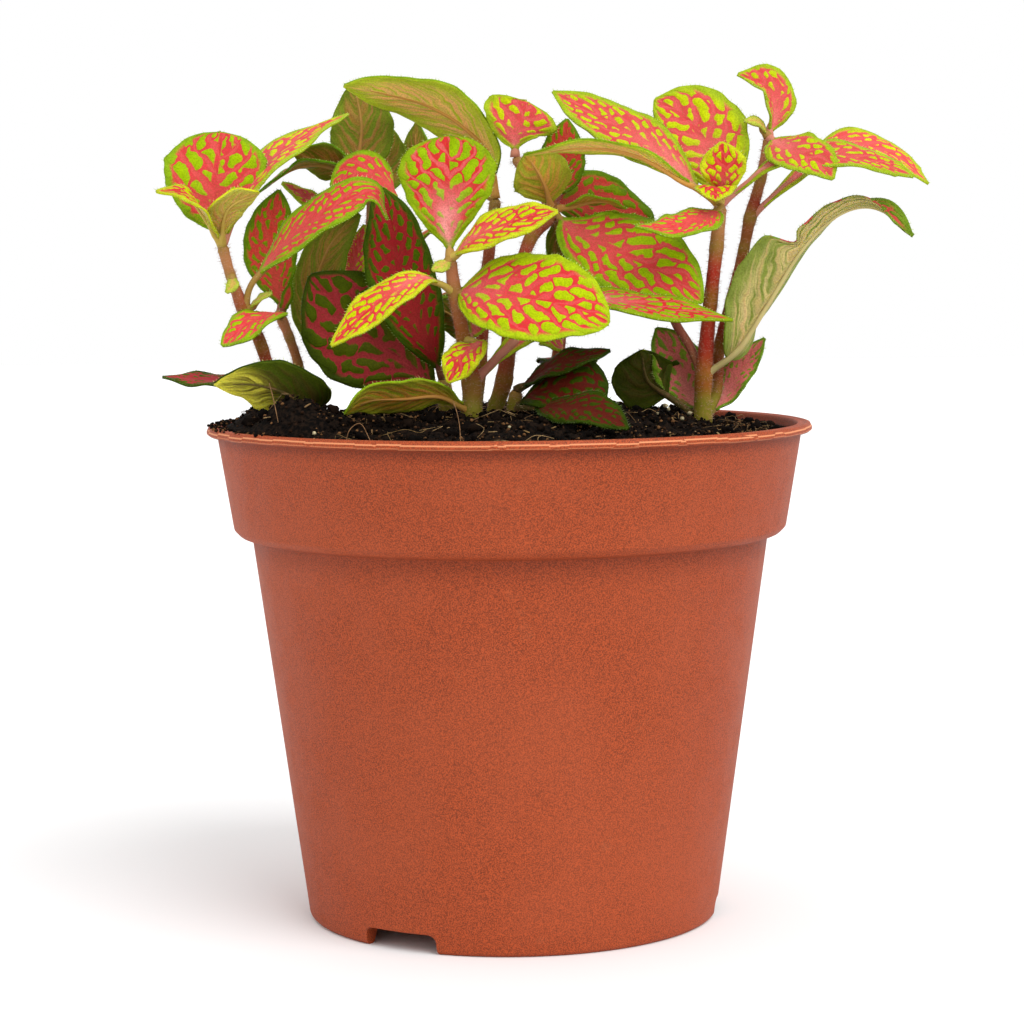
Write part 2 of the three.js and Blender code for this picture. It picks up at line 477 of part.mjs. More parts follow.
// Soil: peat that fills the pot, domed in the middle and heaped at the left, with an uneven top.
function soilTop(x, y) {
  const r = Math.hypot(x, y);
  const dome = SOIL_CROWN * (1 - smoothstep(r, CROWN_R, BAND_TOP_R - WALL));
  const heap = MOUND.tall * Math.exp(-((x - MOUND.x) ** 2 + (y - MOUND.y) ** 2) / (2 * MOUND.spread ** 2));
  const coarse = CRUMB_COARSE * Math.sin(0.9 * x + 1.3) * Math.cos(0.8 * y + 0.4);
  const fine = CRUMB_FINE * Math.sin(1.7 * x - 1.1 * y);
  return SOIL_EDGE + dome + heap + (coarse + fine) * smoothstep(BAND_TOP_R - WALL - r, 0, CRUMB_EDGE);
}

// The top's rings are turned at height 0 and then lifted to the soil's surface.
function makeSoil(feet) {
  const wall = innerWall.slice(1).map(([r, z]) => [r - SOIL_GAP, z + SOIL_GAP]).reverse();
  const floor = [
    [0, WALL + SOIL_GAP], [PAD_R - 1.2, WALL + SOIL_GAP],
    [PAD_R + PAD_SLOPE - 0.6, FLOOR_Z + WALL + SOIL_GAP],
  ];
  const edgeR = wall[wall.length - 1][0] + SOIL_GAP;
  const top = [...SOIL_RINGS, edgeR].reverse().map((r) => [r, 0]);
  const geometry = lathe([...floor, ...wall, ...top, [0, 0]]);
  const place = geometry.attributes.position;
  for (let i = 0; i < place.count; i += 1) {
    if (Math.abs(place.getZ(i)) < 0.001) place.setZ(i, soilTop(place.getX(i), place.getY(i)));
  }
  let soil = toSolid(geometry);
  for (const [x, y, r] of feet) {
    const hole = new THREE.CylinderGeometry(r, r, HOLE_TALL, HOLE_SIDES).rotateX(Math.PI / 2)
      .translate(x, y, ROOT_Z - SOIL_GAP + HOLE_TALL / 2);
    soil = soil.subtract(toSolid(hole));
  }
  return soil;
}

function makeShoot({ stem, radii, branches = [], leaves }) {
  const limbs = branches.map((branch) => [stem[branch.at], ...branch.via]);
  let solid = limb(stem, radii);
  limbs.forEach((points, k) => {
    solid = solid.add(limb(points, branches[k].radii));
  });
  for (const row of leaves) {
    const path = row.limb === undefined ? stem : limbs[row.limb];
    solid = solid.add(leaf(path[row.at], row));
  }
  return solid;
}

// A hole is centred on the middle of the length of stem that stands in it.
function footHole({ stem: [foot, next], radii: [radius] }) {
  const middle = v3(foot).lerp(v3(next), FOOT_DEEP / 2 / (next[2] - foot[2]));
  return [middle.x, middle.y, radius + SOIL_GAP + FOOT_LEAN];
}

const plastic = new THREE.MeshStandardMaterial({ color: '#b85a38', roughness: 0.6, metalness: 0 });
const peat = new THREE.MeshStandardMaterial({ color: '#1e1712', roughness: 1, metalness: 0 });
const foliage = new THREE.MeshStandardMaterial({ color: '#7cb51a', roughness: 0.55, metalness: 0 });

const plant = new THREE.Group();
plant.add(toMesh('pot', makePot(), plastic));
plant.add(toMesh('soil', makeSoil(Object.values(SHOOTS).map(footHole)), peat));
for (const [name, shoot] of Object.entries(SHOOTS)) {
  plant.add(toMesh(name, makeShoot(shoot), foliage));
}

export default plant;
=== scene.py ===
# %% [markdown]
# # A nerve plant in its nursery pot
# This lesson dresses a plain model of a potted nerve plant. The plain model is already measured and
# fixed: a plastic pot, the peat in it, and eleven leafy shoots, each a node of its own. Here every
# node is replaced by a finer piece of the same form, with leaf veins, hairs, crumbs and speckled
# plastic. The frame is loaded first, so all that follows is placed in metres, where the model says.

# %% Load the frame
import math
from functools import partial
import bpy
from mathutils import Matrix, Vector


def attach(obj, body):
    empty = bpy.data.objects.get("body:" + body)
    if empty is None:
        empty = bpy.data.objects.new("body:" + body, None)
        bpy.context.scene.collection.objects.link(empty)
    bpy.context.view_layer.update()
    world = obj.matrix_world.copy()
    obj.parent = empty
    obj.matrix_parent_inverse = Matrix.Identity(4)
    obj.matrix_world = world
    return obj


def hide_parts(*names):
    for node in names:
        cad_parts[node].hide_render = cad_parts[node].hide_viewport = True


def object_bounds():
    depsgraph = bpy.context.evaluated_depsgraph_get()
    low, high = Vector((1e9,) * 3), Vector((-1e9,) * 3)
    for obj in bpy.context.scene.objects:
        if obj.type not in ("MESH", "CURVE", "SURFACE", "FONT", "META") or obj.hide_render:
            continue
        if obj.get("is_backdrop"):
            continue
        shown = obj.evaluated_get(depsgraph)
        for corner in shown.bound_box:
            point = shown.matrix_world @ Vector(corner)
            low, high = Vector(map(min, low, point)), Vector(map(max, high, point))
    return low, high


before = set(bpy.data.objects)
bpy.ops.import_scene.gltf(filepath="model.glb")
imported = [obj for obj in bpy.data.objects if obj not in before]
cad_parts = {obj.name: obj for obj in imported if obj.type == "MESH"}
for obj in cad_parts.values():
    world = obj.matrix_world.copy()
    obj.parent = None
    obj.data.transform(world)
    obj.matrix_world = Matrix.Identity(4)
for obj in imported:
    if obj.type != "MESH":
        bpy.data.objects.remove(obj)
from types import SimpleNamespace

import bmesh
import bpy
import numpy as np
from mathutils import Matrix, Vector, noise

MM = 0.001
cad_low, cad_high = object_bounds()
print("nodes:", ", ".join(sorted(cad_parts)))
print("model's box in mm:", [round(c / MM, 1) for c in (*cad_low, *cad_high)])

# %% [markdown]
# ## Colours and nodes
# A photograph's colours are sRGB, but a shader mixes light, which is linear. So each colour is
# written as its sRGB hex value, and one function turns it to linear. Another small function adds a
# shader node: it takes the settings by name, and sets or links the sockets, in order or by name.

# %% Colour and node helpers
# What a Math node does, and the settings that every node of a kind has here: a Map Range node is a
# soft step, and a Mix node mixes colours.
TIMES, PLUS, MINUS, OVER, LARGER, POWER, ZIGZAG = (
    {"operation": word}
    for word in ("MULTIPLY", "ADD", "SUBTRACT", "DIVIDE", "MAXIMUM", "POWER", "PINGPONG"))
COMMON = {"MapRange": {"interpolation_type": "SMOOTHSTEP"}, "Mix": {"data_type": "RGBA"}}


def linear(code):
    """The sRGB hex colour as linear RGBA."""
    parts = [int(code[i:i + 2], 16) / 255 for i in (1, 3, 5)]
    return (*[c / 12.92 if c <= 0.04045 else ((c + 0.055) / 1.055) ** 2.4 for c in parts], 1.0)


def feed(socket, value):
    """Sets the value on the socket, or links an output, or a node's first open output, to it."""
    if isinstance(value, bpy.types.Node):
        value = next(output for output in value.outputs if output.enabled)
    if isinstance(value, bpy.types.NodeSocket):
        socket.id_data.links.new(value, socket)
    else:
        socket.default_value = value


def add_node(tree, kind, *values, **named):
    """A new shader node. A small letter starts a setting's name, and a capital a socket's. Values
    without a name go to the open sockets in their order."""
    node = tree.nodes.new("ShaderNode" + kind)
    for name, value in {**COMMON.get(kind, {}), **named}.items():
        if name[0].islower():
            setattr(node, name, value)
    open_sockets = [socket for socket in node.inputs if socket.enabled]
    for socket, value in zip(open_sockets, values):
        feed(socket, value)
    for name, value in named.items():
        if name[0].isupper():
            feed(node.inputs[name], value)
    return node


def new_finish(name, roughness, ior=1.45, specular=0.5):
    """A material named for its real finish, with its shader and a function that adds its nodes."""
    material = bpy.data.materials.new(name)
    material.use_nodes = True
    shader = material.node_tree.nodes["Principled BSDF"]
    shader.inputs["Roughness"].default_value = roughness
    shader.inputs["IOR"].default_value = ior
    shader.inputs["Specular IOR Level"].default_value = specular
    return material, shader, partial(add_node, material.node_tree)


def linked(name, data):
    """A new object for the mesh, lamp or camera, linked into the scene."""
    new = bpy.data.objects.new(name, data)
    bpy.context.scene.collection.objects.link(new)
    return new


print("mid grey #808080 is", round(linear("#808080")[0], 3), "in linear light")

# %% [markdown]
# ## Camera
# The photograph was taken from in front and a little above, about half a metre away, with a long
# lens: the pot's lip shows as a flat ellipse, and the pot's sides barely converge. The lens and the
# place were worked out from that ellipse and the pot's edges. The camera looks along +Y, 5.2 degrees
# down, and has a roll of half a degree, as a camera held by hand has.

# %% Camera
LENS, SENSOR = 98.72, 36.0      # mm
CAMERA_AT = (0.0, -559.0, 131.0)    # mm
PITCH, YAW, ROLL = (math.radians(a) for a in (5.164, 0.04, -0.48))
ahead = Vector((math.sin(YAW) * math.cos(PITCH), math.cos(YAW) * math.cos(PITCH), -math.sin(PITCH)))
level = Vector((math.cos(YAW), -math.sin(YAW), 0.0))
over = level.cross(ahead)
camera_right = math.cos(ROLL) * level + math.sin(ROLL) * over
camera_up = -math.sin(ROLL) * level + math.cos(ROLL) * over
camera_data = bpy.data.cameras.new("camera")
camera_data.lens = LENS
camera_data.sensor_width = SENSOR
camera_data.clip_start, camera_data.clip_end = 0.02, 20.0
camera = linked("camera", camera_data)
turn = Matrix((camera_right, camera_up, -ahead)).transposed()
camera.matrix_world = Matrix.Translation(Vector(CAMERA_AT) * MM) @ turn.to_4x4()
bpy.context.scene.camera = camera
print("camera stands", round(Vector(CAMERA_AT).length), "mm from the pot's foot")

# %% [markdown]
# ## Floor and light
# The plant was photographed on white, in soft light from all round, a little stronger from above
# and the right. A wide pale floor and a white sky give the white ground and the soft shadow under
# the pot, and two wide soft suns shape the leaves: a sun lights the far floor as much as the near
# one, so no horizon shows. The Standard view shows the hex colours as they are.

# %% Floor and light
bpy.context.scene.view_settings.view_transform = "Standard"
FLOOR_SIDE = 6.0                # metres
SKY_STRENGTH = 1.0
floor_mesh = bpy.data.meshes.new("floor")
floor_bm = bmesh.new()
bmesh.ops.create_grid(floor_bm, x_segments=1, y_segments=1, size=FLOOR_SIDE / 2)
floor_bm.to_mesh(floor_mesh)
floor_bm.free()
floor = linked("floor", floor_mesh)
paper, shader, _ = new_finish("matte_white_paper", 0.9)
shader.inputs["Base Color"].default_value = linear("#eeeeee")
floor_mesh.materials.append(paper)
floor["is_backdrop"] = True

sky = bpy.data.worlds.new("studio")
sky.use_nodes = True
sky.node_tree.nodes["Background"].inputs["Color"].default_value = linear("#ffffff")
sky.node_tree.nodes["Background"].inputs["Strength"].default_value = SKY_STRENGTH
bpy.context.scene.world = sky

SUNS = {
    "key_right_above": dict(towards=(-0.6, 0.75, -1.0), strength=1.9, spread=45),
    "fill_left_front": dict(towards=(0.8, 1.0, -0.45), strength=0.25, spread=90),
}
for light_name, light in SUNS.items():
    lamp = bpy.data.lights.new(light_name, "SUN")
    lamp.energy = light["strength"]
    lamp.angle = math.radians(light["spread"])
    holder = linked(light_name, lamp)
    holder.matrix_world = Vector(light["towards"]).to_track_quat("-Z", "Y").to_matrix().to_4x4()
print("lights:", ", ".join(SUNS))

# %% [markdown]
# ## Pieces
# Every piece is worked in millimetres and turned to metres when it is finished. A piece rides on the
# body "root", and the node that it stands for is hidden.

# %% Finish a piece


def show(mesh, name, node, finishes):
    """Links the mesh, given in millimetres, as a piece that replaces a node."""
    mesh.transform(Matrix.Scale(MM, 4))
    for finish in finishes:
        mesh.materials.append(finish)
    piece = linked(name, mesh)
    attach(piece, "root")
    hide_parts(node)
    triangles = sum(len(face.vertices) - 2 for face in mesh.polygons)
    print(f"{name}: {triangles} triangles")
    return piece


def mesh_of(bm, name, sharp=None):
    """The bmesh as a smooth mesh; edges that turn by more than sharp degrees stay crisp."""
    bmesh.ops.recalc_face_normals(bm, faces=bm.faces)
    for face in bm.faces:
        face.smooth = True
    for edge in bm.edges:
        if sharp and len(edge.link_faces) == 2:
            edge.smooth = edge.calc_face_angle() < math.radians(sharp)
    mesh = bpy.data.meshes.new(name)
    bm.to_mesh(mesh)
    bm.free()
    return mesh


print("pieces are named for their nodes")

# %% [markdown]
# ## The pot: moulded polypropylene
# A nursery pot is blow- or injection-moulded from recycled polypropylene, tinted terracotta. The
# plastic is thin and matte, with a fine orange-peel skin and tiny darker and lighter specks of
# filler, so its highlight is broad and weak. The tint is a little greyer where the skin is scuffed.

# %% Terracotta plastic
SPECK = 0.22       # mm, the filler's specks; the real ones are finer, and these still show
SKIN = 0.9         # mm, the orange-peel waves of the skin
CLOUD = 28         # mm, the slow changes of the tint
SCUFF = 6          # mm, the scuffed patches, and the jags of the flash
DOT = 5            # mm, from one dark speck of filler to the next
plastic, shader, add = new_finish("terracotta_polypropylene_moulded", 0.62, 1.49, 0.25)
place = add("TexCoord").outputs["Object"]
specks = add("TexNoise", Vector=place, Scale=1 / (SPECK * MM), Detail=1.0)
clouds = add("TexNoise", Vector=place, Scale=1 / (CLOUD * MM), Detail=3.0)
scuffs = add("TexNoise", Vector=place, Scale=1 / (SCUFF * MM), Detail=4.0, Roughness=0.65)
tint = linear("#743014")
for pattern, low, high, most, code in ((specks, 0.35, 0.65, 1.0, "#ae4a22"),
                                       (clouds, 0.35, 0.7, 0.25, "#a65030"),
                                       (scuffs, 0.6, 0.8, 0.15, "#b06a4a")):
    tint = add("Mix", add("MapRange", pattern, low, high, 0.0, most), tint, linear(code))
skin = add("TexNoise", Vector=place, Scale=1 / (SKIN * MM), Detail=2.0)
feed(shader.inputs["Normal"], add("Bump", Height=skin, Strength=0.3, Distance=0.12 * MM))
feed(shader.inputs["Roughness"], add("MapRange", scuffs, 0.4, 0.8, 0.6, 0.72))
print("plastic: specks", SPECK, "mm")

# %% [markdown]
# Painted shade darkens the wall just under the lip and just under the collar, where their shadows
# fall. A rough pale line of flash runs round the lip, where the two halves of the mould met, and a
# second pale line along the lip's lower edge is a painted highlight. The two lines are read off the
# height above the floor and the distance from the pot's axis, and the shade off the height alone.

# %% Painted shade, flash line and painted highlight
LIP_UNDER, COLLAR_UNDER = 96.8, 76.2     # mm above the floor
# The first line is moulding flash; the second, along the lip's lower edge, is a painted highlight.
FLASH_AND_HIGHLIGHT_LINES = ((97.75, 0.14, 0.65), (97.05, 0.09, 0.35))    # height, half width, strength
x, y, z = add("SeparateXYZ", place).outputs
height = add("Math", z, MM, **OVER)
# Painted shade: the wall is darker just under the lip and just under the collar, where their shadows
# fall.
under_lip = add("MapRange", height, 93.5, LIP_UNDER, 0.0, 0.4)
under_collar = add("Math", add("MapRange", height, 70, 76, 0.0, 0.25),
                   add("MapRange", height, COLLAR_UNDER, 77, 1.0, 0.0), **TIMES)
painted_shade = add("Math", add("Math", under_lip, under_collar, **LARGER),
           add("MapRange", height, LIP_UNDER, 97, 1.0, 0.0), **TIMES)
tint = add("Mix", painted_shade, tint, linear("#703a28"), blend_type="MULTIPLY")
jags = add("TexVoronoi", Vector=place, Scale=1 / (SCUFF * MM)).outputs["Color"]
jag = add("MapRange", add("SeparateColor", jags), 0, 1, -0.18, 0.18)
radius = add("Math", add("Math", add("Math", x, x, **TIMES), add("Math", y, y, **TIMES), **PLUS),
             0.5, **POWER)
outside = add("MapRange", radius, 58.2 * MM, 58.6 * MM)
# Pale lines on the lip's outer face: real flash, and a painted highlight.
for line_at, thick, strength in FLASH_AND_HIGHLIGHT_LINES:
    off_line = add("Math", add("Math", add("Math", height, jag, **MINUS), line_at, **MINUS),
                   operation="ABSOLUTE")
    flash_and_highlight = add("Math", add("MapRange", off_line, thick * 0.6, thick * 1.4, strength, 0.0),
                outside, **TIMES)
    tint = add("Mix", flash_and_highlight, tint, linear("#e89c6c"))
dots = add("TexVoronoi", Vector=place, Scale=1 / (DOT * MM))
tint = add("Mix", add("MapRange", dots, 0.025, 0.05, 0.5, 0.0), tint, linear("#7a3a26"))
feed(shader.inputs["Base Color"], tint)
print("flash lines at", [line[0] for line in FLASH_AND_HIGHLIGHT_LINES], "mm")

# %% [markdown]
# The pot is round, so its wall's outline is spun about the upright axis. The edges that turn sharply
# are rounded with a bevel first, because moulded plastic never has a knife edge. Then three notches
# in the standing skirt and eight drain holes in the floor are cut with one set of cutters.

# %% Pot outline
# Radius and height in mm: up the outside from the pad under the floor, over the lip, down inside.
POT_OUTLINE = [
    (0, 0), (12, 0), (14.5, 4.2), (36.6, 4.2), (38.8, 0), (40.3, 0), (41, 0.7),
    (41.92, 7.4), (51.3, 76.2), (53.7, 76.8), (54.9, 78), (57.9, 96.4), (59.5, 96.7), (60, 97.1),
    (60, 97.6), (59.6, 98.35), (59, 98.5), (58.5, 98.25), (57.8, 98.2), (57.35, 98.45),
    (56.95, 98.15), (56.6, 94.5), (53.8, 78), (50.2, 76.2), (40.2, 5.3), (13.9, 5.3), (11.4, 1.1),
    (0, 1.1),
]
SHARP = math.radians(24)
LIP_INSIDE = 58    # mm; the lip's own outline is round already


def spun(outline, steps):
    """A closed turned shape from (radius, height) points that start and end on the axis."""
    bm = bmesh.new()
    line = [bm.verts.new((r, 0, z)) for r, z in outline]
    edges = [bm.edges.new(pair) for pair in zip(line, line[1:])]
    bmesh.ops.spin(bm, geom=line + edges, cent=(0, 0, 0), axis=(0, 0, 1), angle=2 * math.pi,
                   steps=steps, use_merge=True)
    bmesh.ops.remove_doubles(bm, verts=bm.verts, dist=0.001)
    bmesh.ops.recalc_face_normals(bm, faces=bm.faces)
    return bm


def span(edge, axis):
    """How far the edge runs along the axis."""
    return abs(edge.verts[0].co[axis] - edge.verts[1].co[axis])


pot_bm = spun(POT_OUTLINE, 180)
corners = [e for e in pot_bm.edges if len(e.link_faces) == 2 and span(e, 2) < 0.001
           and e.calc_face_angle() > SHARP and e.verts[0].co.xy.length < LIP_INSIDE]
bmesh.ops.bevel(pot_bm, geom=corners, offset=0.3, offset_type="OFFSET", segments=2, profile=0.5,
                affect="EDGES", material=-1)
print("pot shell:", len(pot_bm.faces), "faces,", len(corners), "rounded edges")

# %% Notches and drain holes
NOTCH_DEEP, NOTCH_WIDE, NOTCH_TALL, NOTCH_CORNER = 9.0, 16.0, 3.8, 1.6    # mm
NOTCH_ANGLES, SKIRT_R = (-122, -2, 118), 40.5
HOLES, HOLE_R, HOLES_AT = 8, 3.2, (26, 0, 4.75)
cutter_bm = bmesh.new()
for angle in NOTCH_ANGLES:
    made = bmesh.ops.create_cube(cutter_bm, size=1)["verts"]
    bmesh.ops.scale(cutter_bm, vec=(NOTCH_DEEP, NOTCH_WIDE, 2 * NOTCH_TALL), verts=made)
    shoulders = [e for e in cutter_bm.edges
                 if all(v in made and v.co.z > 0 for v in e.verts) and span(e, 0) > 1]
    made_faces = {f for v in made for f in v.link_faces}
    rounded = bmesh.ops.bevel(cutter_bm, geom=shoulders, offset=NOTCH_CORNER, offset_type="OFFSET",
                              segments=4, profile=0.5, affect="EDGES", material=-1)
    made = list({v for f in made_faces if f.is_valid for v in f.verts}
                | {v for f in rounded["faces"] for v in f.verts})
    spin_to = Matrix.Rotation(math.radians(angle), 4, "Z") @ Matrix.Translation((SKIRT_R, 0, 0))
    bmesh.ops.transform(cutter_bm, matrix=spin_to, verts=made)
for k in range(HOLES):
    spin_to = Matrix.Rotation((k + 0.5) / HOLES * 2 * math.pi, 4, "Z") @ Matrix.Translation(HOLES_AT)
    bmesh.ops.create_cone(cutter_bm, cap_ends=True, segments=24, radius1=HOLE_R, radius2=HOLE_R,
                          depth=4, matrix=spin_to)
print("cutters:", len(NOTCH_ANGLES), "notches,", HOLES, "holes")

# %% Cut the pot


def cut(bm, cutter, name):
    """The bmesh less the cutter, as a new bmesh."""
    solids = []
    for part_bm, label in ((bm, name), (cutter, name + "_cutter")):
        mesh = bpy.data.meshes.new(label)
        part_bm.to_mesh(mesh)
        part_bm.free()
        solids.append(linked(label, mesh))
    saw = solids[0].modifiers.new("cut", "BOOLEAN")
    saw.operation, saw.solver, saw.object = "DIFFERENCE", "EXACT", solids[1]
    shaped = solids[0].evaluated_get(bpy.context.evaluated_depsgraph_get()).to_mesh()
    result = bmesh.new()
    result.from_mesh(shaped)
    for solid in solids:
        bpy.data.objects.remove(solid)
    return result


pot_bm = cut(pot_bm, cutter_bm, "pot_shell")
show(mesh_of(pot_bm, "nursery_pot", sharp=28), "nursery_pot", "pot", [plastic])

# %% [markdown]
# ## Peat
# The pot is filled with dark peat, watered and sunk a little at its edge, with a low dome in the
# middle and a heap at the left. It is a turned shape like the pot. Its top is then lifted to the
# model's dome and waves, with the heap a little further forward, as the photograph shows it, and
# roughened with fractal noise, because peat is a mass of crumbs. Wet peat is nearly black-brown and
# quite dull.

# %% Peat finish
GRAIN, FIBRE = 0.8, 3.5    # mm
peat, shader, add = new_finish("potting_peat_moist", 0.95, 1.4, 0.1)
place = add("TexCoord").outputs["Object"]
grains = add("TexNoise", Vector=place, Scale=1 / (GRAIN * MM), Detail=3.0)
fibre = add("TexNoise", Vector=place, Scale=1 / (FIBRE * MM), Detail=4.0)
tint = add("Mix", add("MapRange", grains, 0.38, 0.66), linear("#060403"), linear("#1e140d"))
tint = add("Mix", add("MapRange", fibre, 0.6, 0.8, 0.0, 0.35), tint, linear("#4a3020"))
feed(shader.inputs["Base Color"], tint)
feed(shader.inputs["Normal"], add("Bump", Height=grains, Strength=0.6, Distance=0.5 * MM))
print("peat crumbs are", GRAIN, "mm")

# %% Height of the peat
SOIL_EDGE, SOIL_CROWN, CROWN_R, WALL_R = 96.6, 4.2, 24.0, 56.8    # mm
HEAPS = ((7.6, -41, -28, 6.5), (3.4, -50, -10, 7))    # height, place, spread
BANK = 2.0         # mm, the low bank at the left edge


def smooth(value, low, high):
    t = min(max((value - low) / (high - low), 0.0), 1.0)
    return t * t * (3 - 2 * t)


def soil_top(x, y):
    """Height of the peat's surface: the model's dome and waves, the heaps and the bank."""
    r = math.hypot(x, y)
    dome = SOIL_CROWN * (1 - smooth(r, CROWN_R, WALL_R))
    heap = 0.0
    for tall, at_x, at_y, spread in HEAPS:
        heap += tall * math.exp(-((x - at_x) ** 2 + (y - at_y) ** 2) / (2 * spread ** 2))
    heap = heap * smooth(WALL_R - r, -1, 7) + BANK * smooth(-x, 36, 52)
    coarse = 0.45 * math.sin(0.9 * x + 1.3) * math.cos(0.8 * y + 0.4)
    fine = 0.3 * math.sin(1.7 * x - 1.1 * y)
    return SOIL_EDGE + dome + heap + (coarse + fine) * smooth(WALL_R - r, 0, 6)


print("the peat's middle is at", round(soil_top(0, 0), 1), "mm")

# %% Peat in the pot
ABOVE = 200.0      # a height that marks the points of the top, until they are lifted
BED_OUTLINE = [(0, 1.45), (10.8, 1.45), (13.9, 5.65), (39.9, 5.65), (49.9, 76.5), (53.5, 78.4),
               (56.3, 94.9)]
CRUMB = 2.6        # mm, the widest waves of the rough surface
top_rings = [(r * 0.8, ABOVE) for r in range(70, 0, -1)]
soil_bm = spun([*BED_OUTLINE, *top_rings, (0, ABOVE)], 200)
for vert in soil_bm.verts:
    if vert.co.z > ABOVE - 50:
        x, y = vert.co.xy
        rough = noise.fractal(Vector((x, y, 0)) / CRUMB, 0.9, 2.1, 5)
        rim = smooth(WALL_R - math.hypot(x, y), 0.5, 5)
        vert.co.z = soil_top(x, y) - 0.35 + (0.4 + 0.9 * rim) * rough
show(mesh_of(soil_bm, "peat_bed"), "peat_bed", "soil", [peat])

# %% [markdown]
# ## Shapes that repeat
# Leaves, stalks, hairs and crumbs are each one simple shape, bent, turned and scaled many times. So
# the simple shape is made once by an operator and read as an array, the array is bent by a formula,
# and a batch joins the bent copies into one mesh, with their notes, such as vein phase and colour.

# %% Simple shapes


def arrays(bm):
    """The bmesh's points and faces, and frees it."""
    bm.verts.index_update()
    points = np.array([v.co[:] for v in bm.verts])
    faces = [tuple(v.index for v in f.verts) for f in bm.faces]
    bm.free()
    return points, faces


def sheet_shape(columns, rows):
    """A flat square grid from -1 to 1."""
    bm = bmesh.new()
    bmesh.ops.create_grid(bm, x_segments=columns, y_segments=rows, size=1)
    return arrays(bm)


def rod_shape(sides, rings):
    """A closed cylinder of radius 1 and length 1, cut into rings."""
    bm = bmesh.new()
    bmesh.ops.create_cone(bm, cap_ends=True, segments=sides, radius1=1, radius2=1, depth=1)
    uprights = [e for e in bm.edges if span(e, 2) > 0.5]
    bmesh.ops.subdivide_edges(bm, edges=uprights, cuts=rings - 1, use_grid_fill=True)
    bmesh.ops.translate(bm, vec=(0, 0, 0.5), verts=bm.verts)
    return arrays(bm)


def spike_shape():
    """A hair: a three-sided cone of length 1."""
    bm = bmesh.new()
    bmesh.ops.create_cone(bm, cap_ends=False, segments=3, radius1=1, radius2=0, depth=1)
    bmesh.ops.translate(bm, vec=(0, 0, 0.5), verts=bm.verts)
    bmesh.ops.remove_doubles(bm, verts=bm.verts, dist=0.001)
    return arrays(bm)


SPIKE = spike_shape()
print("a hair has", len(SPIKE[1]), "faces")

# %% Batches
LAYERS = {3: ("FLOAT_VECTOR", "vector"), 4: ("FLOAT_COLOR", "color")}


class Batch:
    """Collects bent copies of shapes, with notes for each point, into one mesh."""

    def __init__(self, **widths):
        self.points, self.faces, self.count = [], [], 0
        self.widths = widths
        self.notes = {name: [] for name in widths}

    def add(self, points, faces, **notes):
        for name, width in self.widths.items():
            note = np.asarray(notes[name], float)
            self.notes[name].append(np.broadcast_to(note, (len(points), width)))
        start = self.count
        self.points.append(points)
        self.faces.extend([tuple(i + start for i in face) for face in faces])
        self.count += len(points)

    def mesh(self, name):
        mesh = bpy.data.meshes.new(name)
        mesh.from_pydata(np.concatenate(self.points).tolist(), [], self.faces)
        mesh.polygons.foreach_set("use_smooth", [True] * len(mesh.polygons))
        for note, width in self.widths.items():
            values = np.concatenate(self.notes[note])
            if width == 2:
                corners = np.empty(len(mesh.loops), int)
                mesh.loops.foreach_get("vertex_index", corners)
                mesh.uv_layers.new(name=note).uv.foreach_set("vector", values[corners].ravel())
            else:
                kind, key = LAYERS[width]
                layer = mesh.attributes.new(note, kind, "POINT")
                layer.data.foreach_set(key, values.ravel())
        mesh.update()
        return mesh


def stamp(batch, shape, spots, axes, sizes, **notes):
    """Copies a shape to every spot, with its Z along axes and its size (across, along)."""
    points, faces = shape
    along = axes / np.linalg.norm(axes, axis=1, keepdims=True)
    helper = np.where(np.abs(along[:, 2:]) < 0.9, [[0.0, 0.0, 1.0]], [[1.0, 0.0, 0.0]])
    first = np.cross(helper, along)
    first /= np.linalg.norm(first, axis=1, keepdims=True)
    second = np.cross(along, first)
    for k in range(len(spots)):
        across, length = sizes[k]
        moved = (points[:, :1] * first[k] + points[:, 1:2] * second[k]) * across
        moved = moved + points[:, 2:] * along[k] * length + spots[k]
        batch.add(moved, faces, **{name: note[k] for name, note in notes.items()})


print("a batch writes pairs of numbers as a UV map, threes as vectors and fours as colours")

# %% [markdown]
# ## Smooth paths
# A stem or a leaf's rib runs through a few points. The path between them is a cubic curve, the same
# one as in the model, whose direction at a point comes from that point's two neighbours. It is
# sampled finely, so a place on it can be asked for by its distance in millimetres from the start.

# %% Paths
SAMPLES = 32       # places between two points of a path
REACH = 0.25       # mm, how far ahead and behind a direction is measured


def trace(points):
    """Fine samples of the smooth curve through the points: places, distances, and knot numbers."""
    knots = [np.array(p, float) for p in points]
    knots = [2 * knots[0] - knots[1], *knots, 2 * knots[-1] - knots[-2]]
    t = np.linspace(0, 1, SAMPLES + 1)[:, None]
    places, numbers = [], []
    for i in range(1, len(knots) - 2):
        before, start, end, after = knots[i - 1:i + 3]
        lead, leave = (end - before) / 2, (after - start) / 2
        bend = -3 * start + 3 * end - 2 * lead - leave
        close = 2 * start - 2 * end + lead + leave
        places.append((start + lead * t + bend * t ** 2 + close * t ** 3)[:-1])
        numbers.append(i - 1 + t[:-1, 0])
    places = np.concatenate([*places, knots[-2][None]])
    numbers = np.concatenate([*numbers, [len(points) - 1.0]])
    steps = np.linalg.norm(np.diff(places, axis=0), axis=1)
    return places, np.concatenate([[0.0], np.cumsum(steps)]), numbers


def on_path(path, distance):
    """Places and unit directions at the distances along the path."""
    places, run, _ = path

    def at(d):
        return np.stack([np.interp(d, run, places[:, k]) for k in range(3)], axis=-1)
    along = at(np.minimum(distance + REACH, run[-1])) - at(np.maximum(distance - REACH, 0))
    return at(distance), along / np.linalg.norm(along, axis=-1, keepdims=True)


def square_to(along, side):
    """The side vector made square to each direction, and the third vector of the frame."""
    right = side - along * np.sum(side * along, axis=-1, keepdims=True)
    right = right / np.linalg.norm(right, axis=-1, keepdims=True)
    return right, np.cross(right, along)


print("a path samples", SAMPLES, "places between two of its points")
